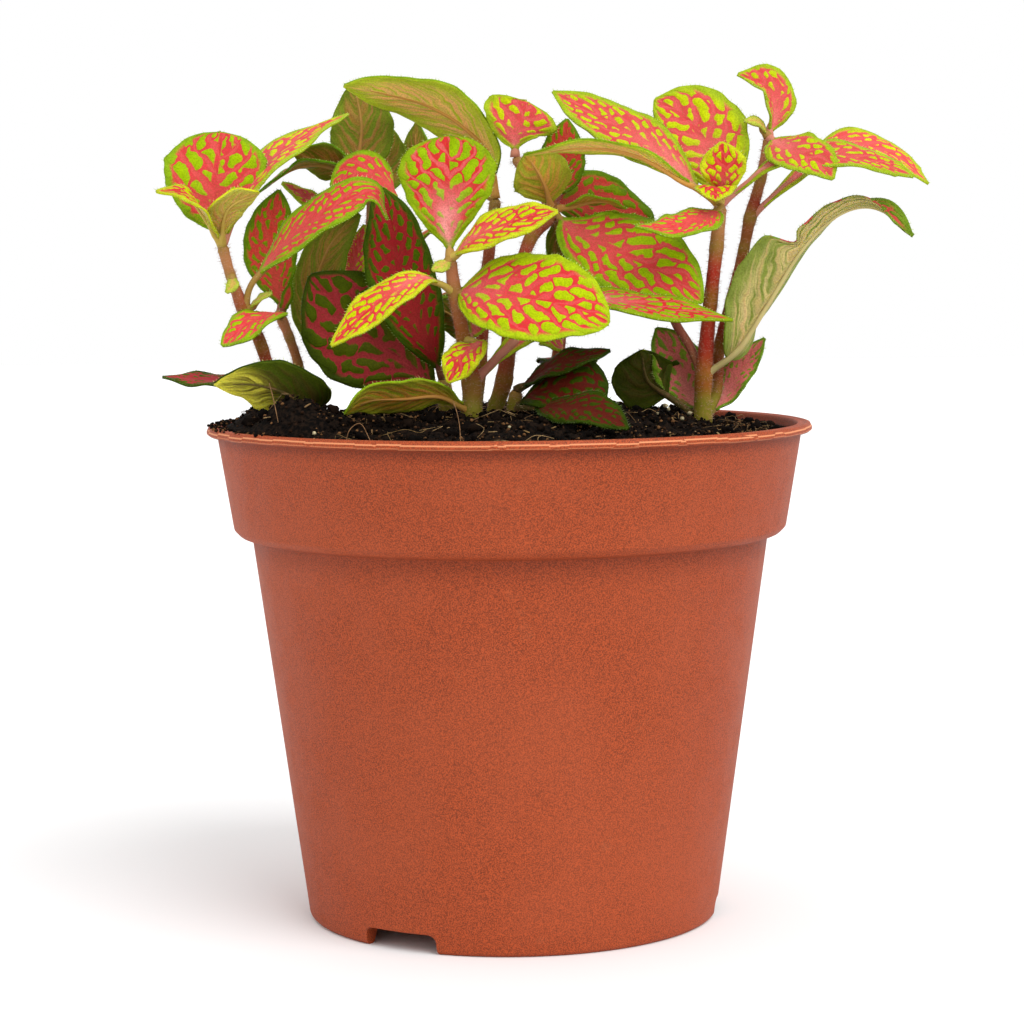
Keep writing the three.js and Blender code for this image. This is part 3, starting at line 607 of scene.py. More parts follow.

# %% [markdown]
# ## The shoots
# The rows below are the model's own, in mm: for each shoot its stem's points and radii, and for each
# leaf the number of the stem's point that it grows from, the points of its rib, its width, and the
# way its upper side faces. Two of the right shoot's leaves follow the photograph more closely: the
# backlit one is slimmer, and the pale one's tip turns further. The first word says which of the
# plant's leaf colours a leaf has: young ones are yellow and lime with red veins, grown ones green,
# and the low ones dark with crimson veins. The shaded and flap kinds carry painted shade in their
# dark colours, and the backlit kind carries painted light in its bright lower side. A few words more
# set what is special: a longer stalk, where the blade is widest (belly), how blunt it is (bulge),
# how steeply its halves rise (fold), a twisted tip (turn) and a tear (notch).

# %% Rows of stems and leaves
SHOOTS = {}


def shoot(name, stem, radii):
    """Starts a shoot, named for its node."""
    SHOOTS[name] = SimpleNamespace(limbs=[(stem, radii)], leaves=[])


def branch(at, via, radii):
    """A second stem, from a point of the last shoot's stem."""
    limbs = list(SHOOTS.values())[-1].limbs
    limbs.append(([limbs[0][0][at], *via], radii))


def leaf(kind, at, via, wide, face, **more):
    """A leaf of the last shoot. Limb 0 is its stem, and limb 1 its branch."""
    row = dict(kind=kind, at=at, via=via, wide=wide, face=face, stalk=2.5, stalk_r=0.65, belly=0.5,
               bulge=0.75, fold=10, turn=0, limb=0, notch=None)
    list(SHOOTS.values())[-1].leaves.append(SimpleNamespace(**{**row, **more}))


print("a row gives a leaf's kind, the point it grows from, its rib, its width and the way it faces")

# %% Left shoots
shoot("stem_left", [(-45, -7, 91), (-46, -7, 104), (-48.5, -8, 114.5), (-51.5, -9, 121),
      (-54, -10, 128), (-55.5, -11, 134)], [1.4, 1.35, 1.25, 1.5, 1.05, 1.2])
leaf("green", 5, [(-57, -10, 144), (-55.6, -6, 156)], 20.5, (-0.1, -0.9, 0.3), belly=0.62,
     bulge=0.5)
leaf("pink", 5, [(-52.3, -11, 141.8), (-46.8, -8, 149.5), (-39.3, -3, 155.3), (-31.3, 1, 159.6)],
     13.5, (-0.4, -0.35, 0.85))
leaf("yellow", 5, [(-57.5, -15, 138.5), (-61.5, -18, 143.5), (-67, -20, 144.2)], 10,
     (-0.2, -0.45, 0.87))
leaf("yellow", 5, [(-55, -15, 138), (-53, -18, 141.5), (-47.5, -18, 144)], 7.5, (-0.3, 0.6, 0.7))
leaf("green", 3, [(-49.5, -11, 127), (-41, -14, 135.8), (-33, -16, 141.3), (-26.3, -17, 143.3),
     (-23, -18, 138.5)], 12, (-0.3, -0.65, 0.7), stalk=9)
leaf("bud", 4, [(-53.4, -12.5, 126.3), (-54.6, -13.5, 124.8)], 2.6, (0, -0.5, 0.9), stalk=1.2)
leaf("bud", 3, [(-48.3, -11, 123.6), (-45.9, -11.5, 124.6)], 3, (0, -0.5, 0.9), stalk=2)
leaf("dark", 1, [(-47.8, -9.5, 105.8), (-53.6, -10, 107.3), (-60.8, -10, 107.7),
     (-67.7, -10, 108.4)], 9, (0, -0.25, 0.97), stalk=5)

shoot("stem_left_rear", [(-40.5, 0, 91), (-41, 0, 104), (-41.8, 0, 110), (-43.5, 0, 115.5),
      (-45.3, 0, 120)], [1.1, 1.05, 1, 1, 1.2])
leaf("deep", 4, [(-45.5, 1.5, 123.5), (-47.3, 3, 134), (-45.5, 4, 145)], 11, (-0.1, -0.97, 0.15))
leaf("green", 4, [(-45.5, -12.3, 120.6), (-50.5, -15, 118.4), (-55.4, -16, 114.6)], 10.5,
     (-0.45, -0.7, 0.55), stalk=10)
leaf("deep", 4, [(-43.8, -1, 123.5), (-43, -1.5, 126.5)], 2.4, (0, -0.9, 0.4), stalk=1.5)
leaf("flap", 1, [(-38.5, -9, 101.2), (-39.2, -15, 102.6), (-43, -18.5, 105.6), (-49, -20.5, 107.4),
     (-56.5, -21, 107.4)], 14, (-0.1, 0.72, 0.68), belly=0.42, stalk=11)

shoot("stem_low_left", [(-12, -3, 91), (-12.5, -3.5, 103), (-13, -4, 107.5)], [1.6, 1.6, 1.5])
leaf("dusk", 2, [(-16.5, -9, 116), (-21, -9.5, 128.5), (-22.8, -7.5, 137.5), (-25.5, -3, 145.5)],
     13.5, (-0.1, -0.98, 0.1), stalk=3)
leaf("dark", 1, [(-20, -3, 110), (-28.8, -3, 116.5), (-39, -5, 128)], 22, (-0.1, -0.95, 0.25),
     belly=0.58, stalk=2.5)
print("shoots so far:", len(SHOOTS))

# %% Left back shoots
shoot("stem_back_left", [(-26, 12, 91), (-27, 12, 106), (-28, 11, 118), (-28, 11, 131),
      (-27, 10, 143)], [1.5, 1.5, 1.3, 1.2, 1.3])
leaf("under", 4, [(-30, 13, 149), (-29.4, 15, 157.8), (-31, 16, 167)], 13, (0, 0.95, 0.2),
     belly=0.55)
leaf("under", 4, [(-24.7, 17, 149), (-24.3, 20, 158.4)], 9, (0, 0.95, 0.2))
leaf("under", 4, [(-33, 9, 149), (-43, 9, 152.5)], 8.5, (0, 0.75, 0.65), stalk=5)
leaf("under", 4, [(-34, 6, 149.3), (-42, 5.5, 149.5), (-49.5, 4.5, 144.5)], 9, (0, 0.12, 1),
     stalk=7)
leaf("pink", 4, [(-37, 11, 142), (-45.5, 11, 146.5)], 5, (0, -0.6, 0.8), stalk=7)
leaf("green", 4, [(-22.5, 3, 144.5), (-28.5, 1.5, 147.6), (-35, 0, 145.5)], 11.5, (0.3, -0.75, 0.6),
     stalk=7)
leaf("under", 1, [(-36, 10, 110), (-39.3, 7, 121), (-36, 6, 133), (-29.5, 6, 140)], 10.5,
     (0.2, 0.9, 0.2), stalk=11)
leaf("pink", 2, [(-31.5, 9, 126), (-28.7, 8.5, 138)], 6.5, (-0.5, -0.8, 0), stalk=5)

shoot("stem_back_centre", [(-8, 16, 91), (-6, 15, 108), (-4.5, 13, 126), (-2.4, 11, 143)], [1.5,
      1.4, 1.3, 1.2])
leaf("backlit", 3, [(-3.2, 11, 151.5), (-9, 10, 157.8), (-16, 9, 161.8), (-24, 8, 164),
     (-32.5, 7, 165.6)], 16, (0.1, 0.5, 0.85), stalk=5)
leaf("under", 3, [(-12, 17, 147), (-18, 19, 152), (-18.5, 20, 159)], 7.5, (0, 0.95, 0.2), stalk=9)
leaf("under", 1, [(-10, 8, 118), (-14, 6, 121), (-18, 5, 121)], 7, (0, 0.9, 0.4), stalk=7)
print("shoots so far:", len(SHOOTS))

# %% Centre shoot
shoot("stem_centre", [(-7.2, -20, 91), (-7.2, -20, 101.5), (-7.2, -20, 107), (-8.6, -20, 115.5),
      (-10.2, -20, 124.5), (-11, -20, 131)], [2, 2.1, 1.95, 1.4, 1.4, 1.2])
leaf("lime", 5, [(-11.5, -21.5, 139.5), (-11.4, -21, 147), (-11.4, -18, 154.4)], 18.5,
     (0, -0.97, 0.2), belly=0.66, bulge=0.52, stalk=2)
leaf("yellow", 5, [(-6.5, -24, 134.7), (0.6, -26, 137.5), (9.5, -28, 139.7)], 11,
     (0.15, -0.62, 0.78), stalk=2)
leaf("yellow", 4, [(-15.3, -24, 127.3), (-20.8, -27, 125.2), (-27, -29, 120.6),
     (-33.4, -30, 114.8)], 9.5, (-0.3, -0.65, 0.7), stalk=5)
leaf("bright", 4, [(-5, -25, 124.8), (3.4, -29, 123.7), (12, -31, 122), (18.9, -31, 118.6)], 19.5,
     (0.05, -0.85, 0.5), bulge=0.6, stalk=1.5)
leaf("bud", 5, [(-12.6, -23, 129.6), (-14.4, -24, 128.8)], 3.2, (0, -0.7, 0.7), stalk=1.5)
leaf("yellow", 3, [(-5.8, -24, 115), (-8.6, -27, 112.4), (-11.5, -28, 107.6)], 8, (-0.3, -0.8, 0.5),
     stalk=4)
leaf("tan", 1, [(-13, -25, 105), (-20, -28, 104.8), (-26.5, -30, 104.5), (-31, -31, 102)], 10.5,
     (0, 0.68, 0.72), belly=0.58, stalk=3)
leaf("pink", 2, [(0.6, -15.5, 114.4), (6, -13, 118), (9.6, -12, 114.5), (11, -11.5, 109.4)], 9,
     (0, -0.9, 0.3), stalk=13, stalk_r=0.9)
leaf("pink", 3, [(-6.6, -17.5, 117), (-5, -17, 122)], 4, (0.2, -0.9, 0.2))
print("shoots so far:", len(SHOOTS))

# %% Tall and low shoots
shoot("stem_tall", [(-3, -8, 91), (-3, -8, 100), (-1, -8, 107), (0.2, -7, 115), (1, -6, 121),
      (2.4, -4, 128.5), (4.6, -2, 135), (8.8, 0, 140.4), (4.5, 3, 146.5), (1.6, 4, 151)], [1.75,
      1.75, 1.75, 1.6, 1.5, 1.4, 1.35, 1.5, 1.1, 1.1])
leaf("pink", 9, [(1.8, 4, 156.3), (4.2, 5, 162)], 15.5, (0, -0.95, 0.3), belly=0.68, bulge=0.5,
     stalk=1.5)
leaf("tan", 7, [(7, -4, 146), (3.6, -4, 151.6)], 12, (0, 0.9, 0.4), stalk=2)
leaf("deep", 7, [(11.2, 5, 146), (11.2, 7, 152), (12.1, 8, 158.7)], 9, (0.1, -0.95, 0.3), stalk=5)
leaf("tan", 7, [(17.6, -2, 142.2), (23.4, -3, 140.5)], 7, (0, 0.2, 0.98), stalk=3)
leaf("deep", 7, [(11, 7, 142), (17.2, 10, 141.4), (23.4, 11, 137.6), (28.6, 9, 132)], 17,
     (0.2, -0.8, 0.5), stalk=5)
leaf("green", 7, [(13.5, -4, 136), (19.8, -7, 133), (26.4, -10, 129.8), (32.4, -12, 126.6),
     (37.6, -13, 122)], 20, (0.15, -0.85, 0.5), stalk=3)
leaf("under", 7, [(11.4, 3, 133), (16.7, 4, 125.5)], 8.5, (0, 0.95, 0), stalk=2.5)
leaf("lime", 4, [(8, -14, 122), (17, -20, 122.9), (26.5, -23, 121.6), (35.8, -24, 120),
     (42.6, -25, 118.9)], 12, (0, -0.33, 0.94), stalk=9)

shoot("stem_low_centre", [(0.5, -14, 91), (1, -14, 102), (1.5, -14, 105.5)], [1.5, 1.5, 1.4])
leaf("shaded", 1, [(5, -19, 104.9), (12, -22, 106.4), (18.3, -24, 102.9)], 15, (0, -0.72, 0.68),
     belly=0.62, stalk=2.5)
leaf("shaded", 2, [(8, -19.5, 110), (14.5, -21, 112), (19.5, -21, 113.2)], 8, (0, -0.5, 0.87),
     stalk=2.5)
leaf("shaded", 1, [(9, -28, 102.8), (16, -37, 102.4), (21.8, -44, 99.6)], 9, (0, -0.8, 0.6),
     stalk=9)
print("shoots so far:", len(SHOOTS))

# %% Right shoot
shoot("stem_right", [(38, -8, 91), (38, -8, 99), (38.2, -8, 107.5), (39.6, -8, 122.5),
      (40.8, -8, 133), (41.5, -8, 141)], [1.9, 1.9, 1.75, 1.4, 1.4, 1.4])
branch(1, [(40.8, -4.5, 104.5), (41.6, -4.8, 113.6), (44, -4, 122.6), (46.5, -3, 132.3),
       (47.8, -3, 138.6), (50, -2, 146.3), (51.5, -2, 154.2)], [1.3, 1.3, 1.15, 1.15, 1.1, 1.3, 1.1,
       1])
leaf("pink", 5, [(36.9, -9, 144.6), (29, -8, 151.8), (17.2, -6, 158.6), (9, -4, 163.4)], 13,
     (-0.1, -0.6, 0.8), stalk=6)
leaf("backlit", 5, [(34.5, -12.5, 145.5), (24.8, -14, 150.7), (15, -14, 152.2), (3.2, -13, 150.8)],
     6.5, (0, 0.35, 0.94), stalk=9)
leaf("pink", 5, [(41.2, -5, 146), (39.8, -4, 151.4), (35.4, -2, 157.8), (29.2, 0, 162)], 19,
     (0, -0.93, 0.35), belly=0.52, stalk=3)
leaf("yellow", 5, [(41.8, -12.5, 146), (41.4, -14.5, 153)], 9, (0, -0.95, 0.3), belly=0.6)
leaf("yellow", 5, [(40.3, -13.5, 144.2), (39.8, -18.5, 141.6)], 8, (0, -0.3, 0.95), stalk=2)
leaf("pink", 5, [(46.5, -9, 145), (52, -10, 149), (61, -11, 150.5), (70, -12, 149.3),
     (78.5, -13, 146)], 10, (-0.1, -0.5, 0.87), stalk=12)
leaf("green", 5, [(40.6, -12.5, 139.8), (36.5, -17, 137.8), (30.5, -20, 136.4), (24.3, -21, 136.8)],
     9.5, (0.1, -0.42, 0.9), belly=0.42, stalk=5)
leaf("pink", 7, [(52.5, -1.5, 158.3), (51.4, -1, 163.4), (45.4, -1, 166.6)], 8.5, (0.6, -0.75, 0.2),
     limb=1, stalk=1.5, fold=36)
leaf("pink", 7, [(54.6, -10, 151.8), (59.8, -14, 149.2), (62.7, -16, 145.6)], 10.5,
     (-0.1, -0.75, 0.65), limb=1, stalk=2)
leaf("bud", 7, [(49.5, -4, 157), (46.4, -5, 157.4)], 2.8, (0, -0.7, 0.7), limb=1, stalk=1.5)
leaf("pink", 5, [(54.6, -3, 144.6), (60.6, -3, 149.2), (67.6, -3, 152.7), (75.6, -4, 150.5),
     (82.6, -5, 144.8)], 10.5, (-0.1, -0.55, 0.83), limb=1, stalk=11)
leaf("pale", 2, [(44.6, -10, 113), (50.3, -10, 121.5), (57.4, -9, 132.4), (64.8, -8, 139),
     (72, -8, 140), (79, -9, 134.6)], 14, (-0.57, 0.7, 0.42), belly=0.34, stalk=6, fold=38,
     notch=(0.46, 0.45, 1), turn=-90)
leaf("faded", 1, [(42.3, -3.5, 103), (45.2, -2.5, 108), (50.8, -2, 114.8)], 6.6, (-0.5, -0.85, 0.1),
     stalk=4)
leaf("faded", 1, [(35.8, -3, 103), (33.4, -1, 110), (29.2, -1, 117)], 12, (0.4, -0.9, 0.1), stalk=4)
leaf("shaded", 1, [(31.5, -5, 103.5), (27.4, -3, 106.8), (26.3, -3, 112.8)], 14, (0, 0.95, 0.2),
     stalk=9)
leaf("deep", 2, [(35.6, -6, 113.5), (32.6, -4.5, 119.5), (36.5, -4, 123.8)], 4, (0, -0.9, 0.3),
     stalk=13, stalk_r=0.9)
print("shoots so far:", len(SHOOTS))

# %% Rear shoots
shoot("stem_rear_right", [(10, 24, 91), (10, 23, 108), (12, 22, 122), (15, 21, 134)], [1.5, 1.4,
      1.2, 1.1])
leaf("green", 3, [(18, 23, 140), (22, 29, 143)], 13, (0.1, 0.3, 0.95))
leaf("green", 3, [(11, 25, 139), (5, 31, 140)], 12, (-0.2, 0.4, 0.9))
leaf("pink", 3, [(16.5, 20, 141), (18, 19, 147)], 8, (0, 0.9, 0.3))
leaf("deep", 2, [(19, 28, 125), (25, 36, 122)], 13, (0.2, 0.5, 0.85))
leaf("deep", 2, [(7, 28, 126), (0, 35, 122)], 13, (-0.2, 0.5, 0.85))
leaf("dark", 1, [(12, 32, 110), (14, 41, 106)], 13, (0, 0.5, 0.85))

shoot("stem_rear_left", [(-18, 26, 91), (-19, 26, 106), (-20, 25, 120), (-21, 24, 132)], [1.5, 1.4,
      1.2, 1.1])
leaf("pink", 3, [(-23, 27, 138), (-25, 33, 142)], 13, (0, 0.4, 0.9))
leaf("green", 3, [(-16, 27, 137), (-11, 33, 137)], 12, (0.2, 0.5, 0.85))
leaf("deep", 2, [(-26, 30, 123), (-33, 36, 121)], 13, (-0.3, 0.5, 0.8))
leaf("deep", 2, [(-14, 31, 123), (-9, 39, 119)], 12, (0.2, 0.6, 0.8))
leaf("dark", 1, [(-22, 34, 109), (-25, 43, 106)], 13, (-0.1, 0.5, 0.85))
print(len(SHOOTS), "shoots,", sum(len(s.leaves) for s in SHOOTS.values()), "leaves")

# %% [markdown]
# ## Leaf blade: living leaf
# A nerve plant's blade is a thin, soft leaf with a waxy skin over green cells. Its veins are sunk in
# the upper side and carry a red pigment, so they draw a net round small raised cushions of green.
# The pattern follows the leaf, so the material reads notes that each point of the mesh carries: how
# far along the side veins it is, how thick a vein is there, and its distance from the margin.
# Side veins lie where the phase is a whole number. Rungs cross between them, shifted in each strip.

# %% Vein net
PAPILLA = 0.3      # mm, the velvety grain of the skin; the real one is finer, and this still shows
WANDER = 3.4       # mm, the bends of the veins
RAGGED = 1.6       # mm, the uneven edges of the cells
MOTTLE = 2.2       # mm, the blotches of the pigment
CELL_CORNER = 2.3  # 2 makes oval cells, more makes them squarer


def vein_net(add):
    """The blade's notes, and how far each spot is from its ribs, side veins and rungs."""
    net = SimpleNamespace(spot=add("TexCoord").outputs["Object"])
    down, out, _ = add("SeparateXYZ", add("UVMap", uv_map="blade_mm")).outputs
    veins = add("Attribute", attribute_name="veins").outputs["Vector"]
    about = add("Attribute", attribute_name="about").outputs["Vector"]
    phase, net.margin, rib_half = add("SeparateXYZ", veins).outputs
    spacing, vein_half, net.wash = add("SeparateXYZ", about).outputs
    wander = add("TexNoise", Vector=net.spot, Scale=1 / (WANDER * MM), Detail=1.0)
    drift = add("MapRange", wander, 0.3, 0.7, -0.16, 0.16)
    net.turned = add("Math", phase, drift, **PLUS)
    net.off_side = add("Math", add("Math", net.turned, 0.5, **ZIGZAG), spacing, **TIMES)
    strip = add("CombineXYZ", add("Math", net.turned, operation="FLOOR"),
                add("Math", out, operation="SIGN"))
    shift = add("TexWhiteNoise", strip, noise_dimensions="3D")
    cell_long = add("Math", spacing, add("MapRange", shift, 0.0, 1.0, 1.25, 1.9), **TIMES)
    rung = add("Math", add("Math", down, cell_long, **OVER),
               add("Math", shift, 7.0, **TIMES), **PLUS)
    rung = add("Math", rung, add("Math", drift, 1.5, **TIMES), **PLUS)
    off_rung = add("Math", add("Math", rung, 0.5, **ZIGZAG), cell_long, **TIMES)
    off_rung = add("Math", off_rung, 1.3, **TIMES)
    # A cell is a rounded box: both distances are turned to 1 on a vein and 0 far off, and joined.
    near = [add("Math", add("Math", off, spacing, **OVER), -2.0, 1.0, operation="MULTIPLY_ADD",
                use_clamp=True) for off in (net.off_side, off_rung)]
    joined = add("Math", *[add("Math", one, CELL_CORNER, **POWER) for one in near], **PLUS)
    joined = add("Math", joined, 1 / CELL_CORNER, **POWER)
    inside = add("Math", add("Math", 1.0, joined, **MINUS), spacing, **TIMES)
    ragged = add("TexNoise", Vector=net.spot, Scale=1 / (RAGGED * MM), Detail=2.0)
    inside = add("Math", add("Math", inside, 0.5, **TIMES),
                 add("MapRange", ragged, 0.25, 0.75, -0.22, 0.22), **PLUS)
    net.cushion = add("Math", inside, vein_half, **OVER)
    net.lines = add("MapRange", net.cushion, 0.7, 1.1, 1.0, 0.0)
    net.side_vein = add("MapRange", add("Math", net.off_side, vein_half, **OVER),
                        0.3, 0.75, 1.0, 0.0)
    net.off_rib = add("Math", out, operation="ABSOLUTE")
    net.rib = add("MapRange", add("Math", net.off_rib, rib_half, **OVER), 0.7, 1.3, 1.0, 0.0)
    return net


print("vein cells are 1.25 to 1.9 times as long as they are wide")

# %% [markdown]
# On the upper side the whole net is red, and the middle of some leaves is washed with pink. The
# lower side is paler: only the rib and the side veins show, with tan streaks that run along them.

# %% Veins of each side


def upper_veins(add, net, grain, mottle):
    """How red each spot of the upper side is, and how much of the pale wash it has."""
    line = add("Math", add("Math", net.lines, net.rib, **LARGER),
               add("MapRange", net.margin, 0.7, 1.9), **TIMES)
    line = add("Math", line, add("MapRange", grain, 0.2, 0.5, 0.8, 1.0), **TIMES)
    return line, add("Math", net.wash, add("MapRange", mottle, 0.3, 0.6, 0.6, 1.0), **TIMES)


def lower_veins(add, net, mottle):
    """The same for the lower side, with its streaks."""
    line = add("Math", add("Math", net.side_vein, net.rib, **LARGER),
               add("MapRange", net.margin, 0.5, 2.5, 0.0, 0.6), **TIMES)
    streak_at = add("CombineXYZ", add("Math", net.turned, 3.5, **TIMES),
                    add("Math", net.off_rib, 0.2, **TIMES))
    streak = add("TexNoise", Vector=streak_at, Scale=1.0, Detail=3.0)
    tan = add("Math", add("MapRange", streak, 0.4, 0.6),
              add("MapRange", net.margin, 0.6, 4.0, 0.0, 0.85), **TIMES)
    flush = add("Math", net.wash, add("MapRange", mottle, 0.4, 0.7, 0.0, 0.4), **TIMES)
    return add("Math", line, tan, **LARGER), flush


print("two sides, one net")

# %% Leaf finishes
BLADE_GLOW = 0.8   # mm, how far light wanders inside the blade


def leaf_finish(name, upper):
    """The blade's upper or lower side."""
    finish, shader, add = new_finish(name, 0.5 if upper else 0.62, 1.42, 0.06)
    # The lower side glows a little: light soaks through the thin blade from the sunny side.
    shader.inputs["Subsurface Weight"].default_value = 0.0 if upper else 0.6
    shader.inputs["Subsurface Radius"].default_value = (1.0, 0.8, 0.2)
    shader.inputs["Subsurface Scale"].default_value = BLADE_GLOW * MM
    parts = ("cells", "nerves", "rim", "stain") if upper else ("back", "ribs", "back", "stain")
    cells, nerves, edge, stain = (add("Attribute", attribute_name=part) for part in parts)
    net = vein_net(add)
    grain = add("TexNoise", Vector=net.spot, Scale=1 / (PAPILLA * MM), Detail=2.0)
    mottle = add("TexNoise", Vector=net.spot, Scale=1 / (MOTTLE * MM), Detail=3.0)
    line, flush = (upper_veins(add, net, grain, mottle) if upper else lower_veins(add, net, mottle))
    green = add("Mix", add("MapRange", net.margin, 0.3, 3.0, 1.0, 0.0), cells, edge)
    green = add("Mix", add("MapRange", mottle, 0.3, 0.7, 0.0, 0.3), green,
                linear("#ffffff"), blend_type="SOFT_LIGHT")
    green = add("Mix", add("Math", flush, 0.3, **TIMES), green, stain)
    washed = add("Math", flush, add("Math", net.side_vein, 0.18, **TIMES), **LARGER)
    pale = add("Mix", add("Math", washed, 0.95, **TIMES), nerves, stain)
    colour = add("Mix", line, green, pale)
    colour = add("Mix", add("MapRange", grain, 0.35, 0.6, 0.25, 0.0), colour,
                 linear("#503018"), blend_type="MULTIPLY")
    feed(shader.inputs["Base Color"], colour)
    cushions = add("MapRange", net.cushion, 0.5, 2.2, 0.0, 0.8 if upper else 0.1)
    ridges = add("MapRange", net.off_side, 0.0, 0.6, 0.0, 0.0 if upper else -0.4)
    raised = add("Math", add("Math", cushions, ridges, **PLUS), add("Math", grain, 0.3, **TIMES),
                 **PLUS)
    feed(shader.inputs["Normal"], add("Bump", Height=raised, Strength=0.45, Distance=0.4 * MM))
    feed(shader.inputs["Roughness"], add("MapRange", grain, 0.3, 0.7, 0.42, 0.6))
    return finish


leaf_upper = leaf_finish("living_leaf_upper_side_waxy", True)
leaf_under = leaf_finish("living_leaf_lower_side_downy", False)
print("the skin has a grain of", PAPILLA, "mm")

# %% Leaf colours
KINDS = {
    # kind: cells, rim, nerves, stain, strength of the stain, weight of the veins, back, ribs on it
    "green": ("#90ad00", "#7a9a14", "#d03c40", "#de8074", 0.35, 1.35, "#7c8a28", "#a8824a"),
    "lime": ("#88a400", "#7f980c", "#c82a2e", "#f8aca6", 1.0, 1.15, "#98a430", "#c89858"),
    "bright": ("#a4b800", "#9eb410", "#d23037", "#ea8484", 0.45, 1.1, "#98a430", "#c89858"),
    "yellow": ("#b9c200", "#bdc41e", "#d03236", "#f08a80", 0.75, 0.9, "#a8aa40", "#c89a58"),
    "pink": ("#b4c004", "#94ab1e", "#cf4648", "#ec8a83", 0.8, 1.3, "#98a040", "#c89268"),
    "deep": ("#6c8600", "#567608", "#c43c32", "#c86456", 0.35, 1.2, "#6c7c1c", "#a87448"),
    "dusk": ("#4c6400", "#3b5206", "#a02226", "#aa3e38", 0.5, 1.35, "#4e6018", "#84603c"),
    "dark": ("#485602", "#384806", "#a43034", "#b04646", 0.6, 1.25, "#4a5a1c", "#80603c"),
    "under": ("#80a018", "#5a8410", "#d04c40", "#e07c70", 0.4, 1.0, "#687a1c", "#a07636"),
    "tan": ("#90ad00", "#7a9a14", "#d03c40", "#de8074", 0.35, 1.0, "#8e9424", "#cc8c3a"),
    # backlit: its lower side's colours are painted light, as bright as a blade lit through from
    # behind.
    "backlit": ("#90ad00", "#7a9a14", "#d03c40", "#de8074", 0.35, 1.0, "#b6cc34", "#ffcc84"),
    "pale": ("#6c8c20", "#6c8820", "#c84844", "#d87468", 0.4, 1.0, "#788436", "#ccb87c"),
    # shaded and flap: dark colours with painted shade in them, for low leaves in the shade of
    # others.
    "shaded": ("#304200", "#2a3c02", "#5a1a12", "#5c2418", 0.5, 1.15, "#3a460c", "#544c20"),
    "flap": ("#304200", "#2a3c02", "#5a1a12", "#5c2418", 0.5, 1.15, "#4c5a12", "#5c5224"),
    "faded": ("#6c8820", "#5c7e18", "#c4645c", "#d88c84", 0.7, 1.15, "#6c7c30", "#a88460"),
    "bud": ("#b8c040", "#a8b43c", "#c8a450", "#d8c070", 0.3, 0.5, "#a8b040", "#b8a050"),
}
# The colours of the stalks and of the hairs on the margins, where they differ from the usual ones.
STALK_TONE, FRINGE_TONE, STALK_DOWN, STEM_DOWN = "#9a7a3c", "#c8d878", "#cdb890", "#b8907a"
# The stalk tones of the shaded and flap leaves, and the fringe tone of the shaded ones, carry
# painted shade.
STALK_TONES = {
    "dark": "#74343a", "dusk": "#7a3a36", "deep": "#8a4a3a", "pink": "#c47c6c", "lime": "#b08a4a",
    "yellow": "#b8a04a", "under": "#a87c3c", "shaded": "#4e4420", "flap": "#4e4420",
    "tan": "#b4803c", "backlit": "#c89448", "pale": "#b8aa70",
}
FRINGE_TONES = {"dark": "#6a8a40", "dusk": "#7c9c48", "deep": "#90b048", "shaded": "#54682c"}
# Painted light: the lit, turned-up half of the low leaf at the left is painted a brighter
# yellow-green.
FLAP_PAINTED_LIGHT_TONE = "#d6d248"    # the turned-up half of the low leaf at the left
print("leaf kinds:", ", ".join(KINDS))

# %% [markdown]
# ## Stems and hairs
# The stems are soft and juicy, olive green flushed with red-brown where the light reaches them, and
# covered in short white hairs. The same hairs fringe the leaves' margins. Real hairs are thinner
# than a pixel, so these are drawn a little thicker than life to show at all.

# %% Stem and hair finishes
FLUSH, FLECK = 9, 0.7      # mm, the patches and the specks of the stems' skin
stem_skin, shader, add = new_finish("living_stem_downy", 0.55, 1.42, 0.1)
place = add("TexCoord").outputs["Object"]
flush = add("TexNoise", Vector=place, Scale=1 / (FLUSH * MM), Detail=2.0)
fleck = add("TexNoise", Vector=place, Scale=1 / (FLECK * MM), Detail=2.0)
tint = add("Mix", add("MapRange", flush, 0.45, 0.7, 0.0, 0.3),
           add("Attribute", attribute_name="skin"), linear("#84803a"))
tint = add("Mix", add("MapRange", fleck, 0.45, 0.7, 0.0, 0.15), tint, linear("#c8806a"))
feed(shader.inputs["Base Color"], tint)
feed(shader.inputs["Normal"], add("Bump", Height=fleck, Strength=0.4, Distance=0.15 * MM))

down, shader, add = new_finish("plant_hairs_fine_white", 0.6, 1.5)
feed(shader.inputs["Base Color"], add("Attribute", attribute_name="skin"))
print("the stems' skin has flecks of", FLECK, "mm")

# %% Bend a stem


def bend_rod(path, end, radius, sides, ring_mm, side):
    """A rod bent along the path's first part, its radius from radius(distance), its end round."""
    points, faces = rod_shape(sides, max(6, round(end / ring_mm)))
    distance = (1 - (1 - points[:, 2]) ** 1.15) * end
    centre, along = on_path(path, distance)
    right, up = square_to(along, side)
    size = radius(distance)
    size = (size * np.sqrt(np.clip((end - distance) / size + 0.3, 0, 1)))[:, None]
    bent = centre + right * points[:, :1] * size + up * points[:, 1:2] * size
    return bent, faces, distance


def limb_radius(path, radii):
    """Radius along a stem, eased between the radii at its points, with a ring at each leaf joint."""
    _, run, numbers = path
    known = np.array(radii, float)

    def at(distance):
        number = np.interp(distance, run, numbers)
        low = np.minimum(number.astype(int), len(radii) - 2)
        part = number - low
        ease = part * part * (3 - 2 * part)
        plain = known[low] + (known[low + 1] - known[low]) * ease
        joint = np.exp(-((number - np.round(number)) * 5.5) ** 2)
        return plain * (0.93 + 0.1 * joint + 0.02 * np.sin(distance * 2.3))
    return at


print("stem joints swell by a tenth")

# %% Stem colours
STEM_TONES = ("#9c2a1c", "#a03a28", "#94402c", "#8a2a22")
STEM_TAN, STEM_GREEN = "#b87c54", "#78701e"
GREEN_BELOW = 108  # mm above the floor, where a stem's green foot ends
TAN_TOP = 13       # mm, how far the tan reaches down from a stem's tip
HAIR_R = 0.04      # mm; hairs are thinner in life


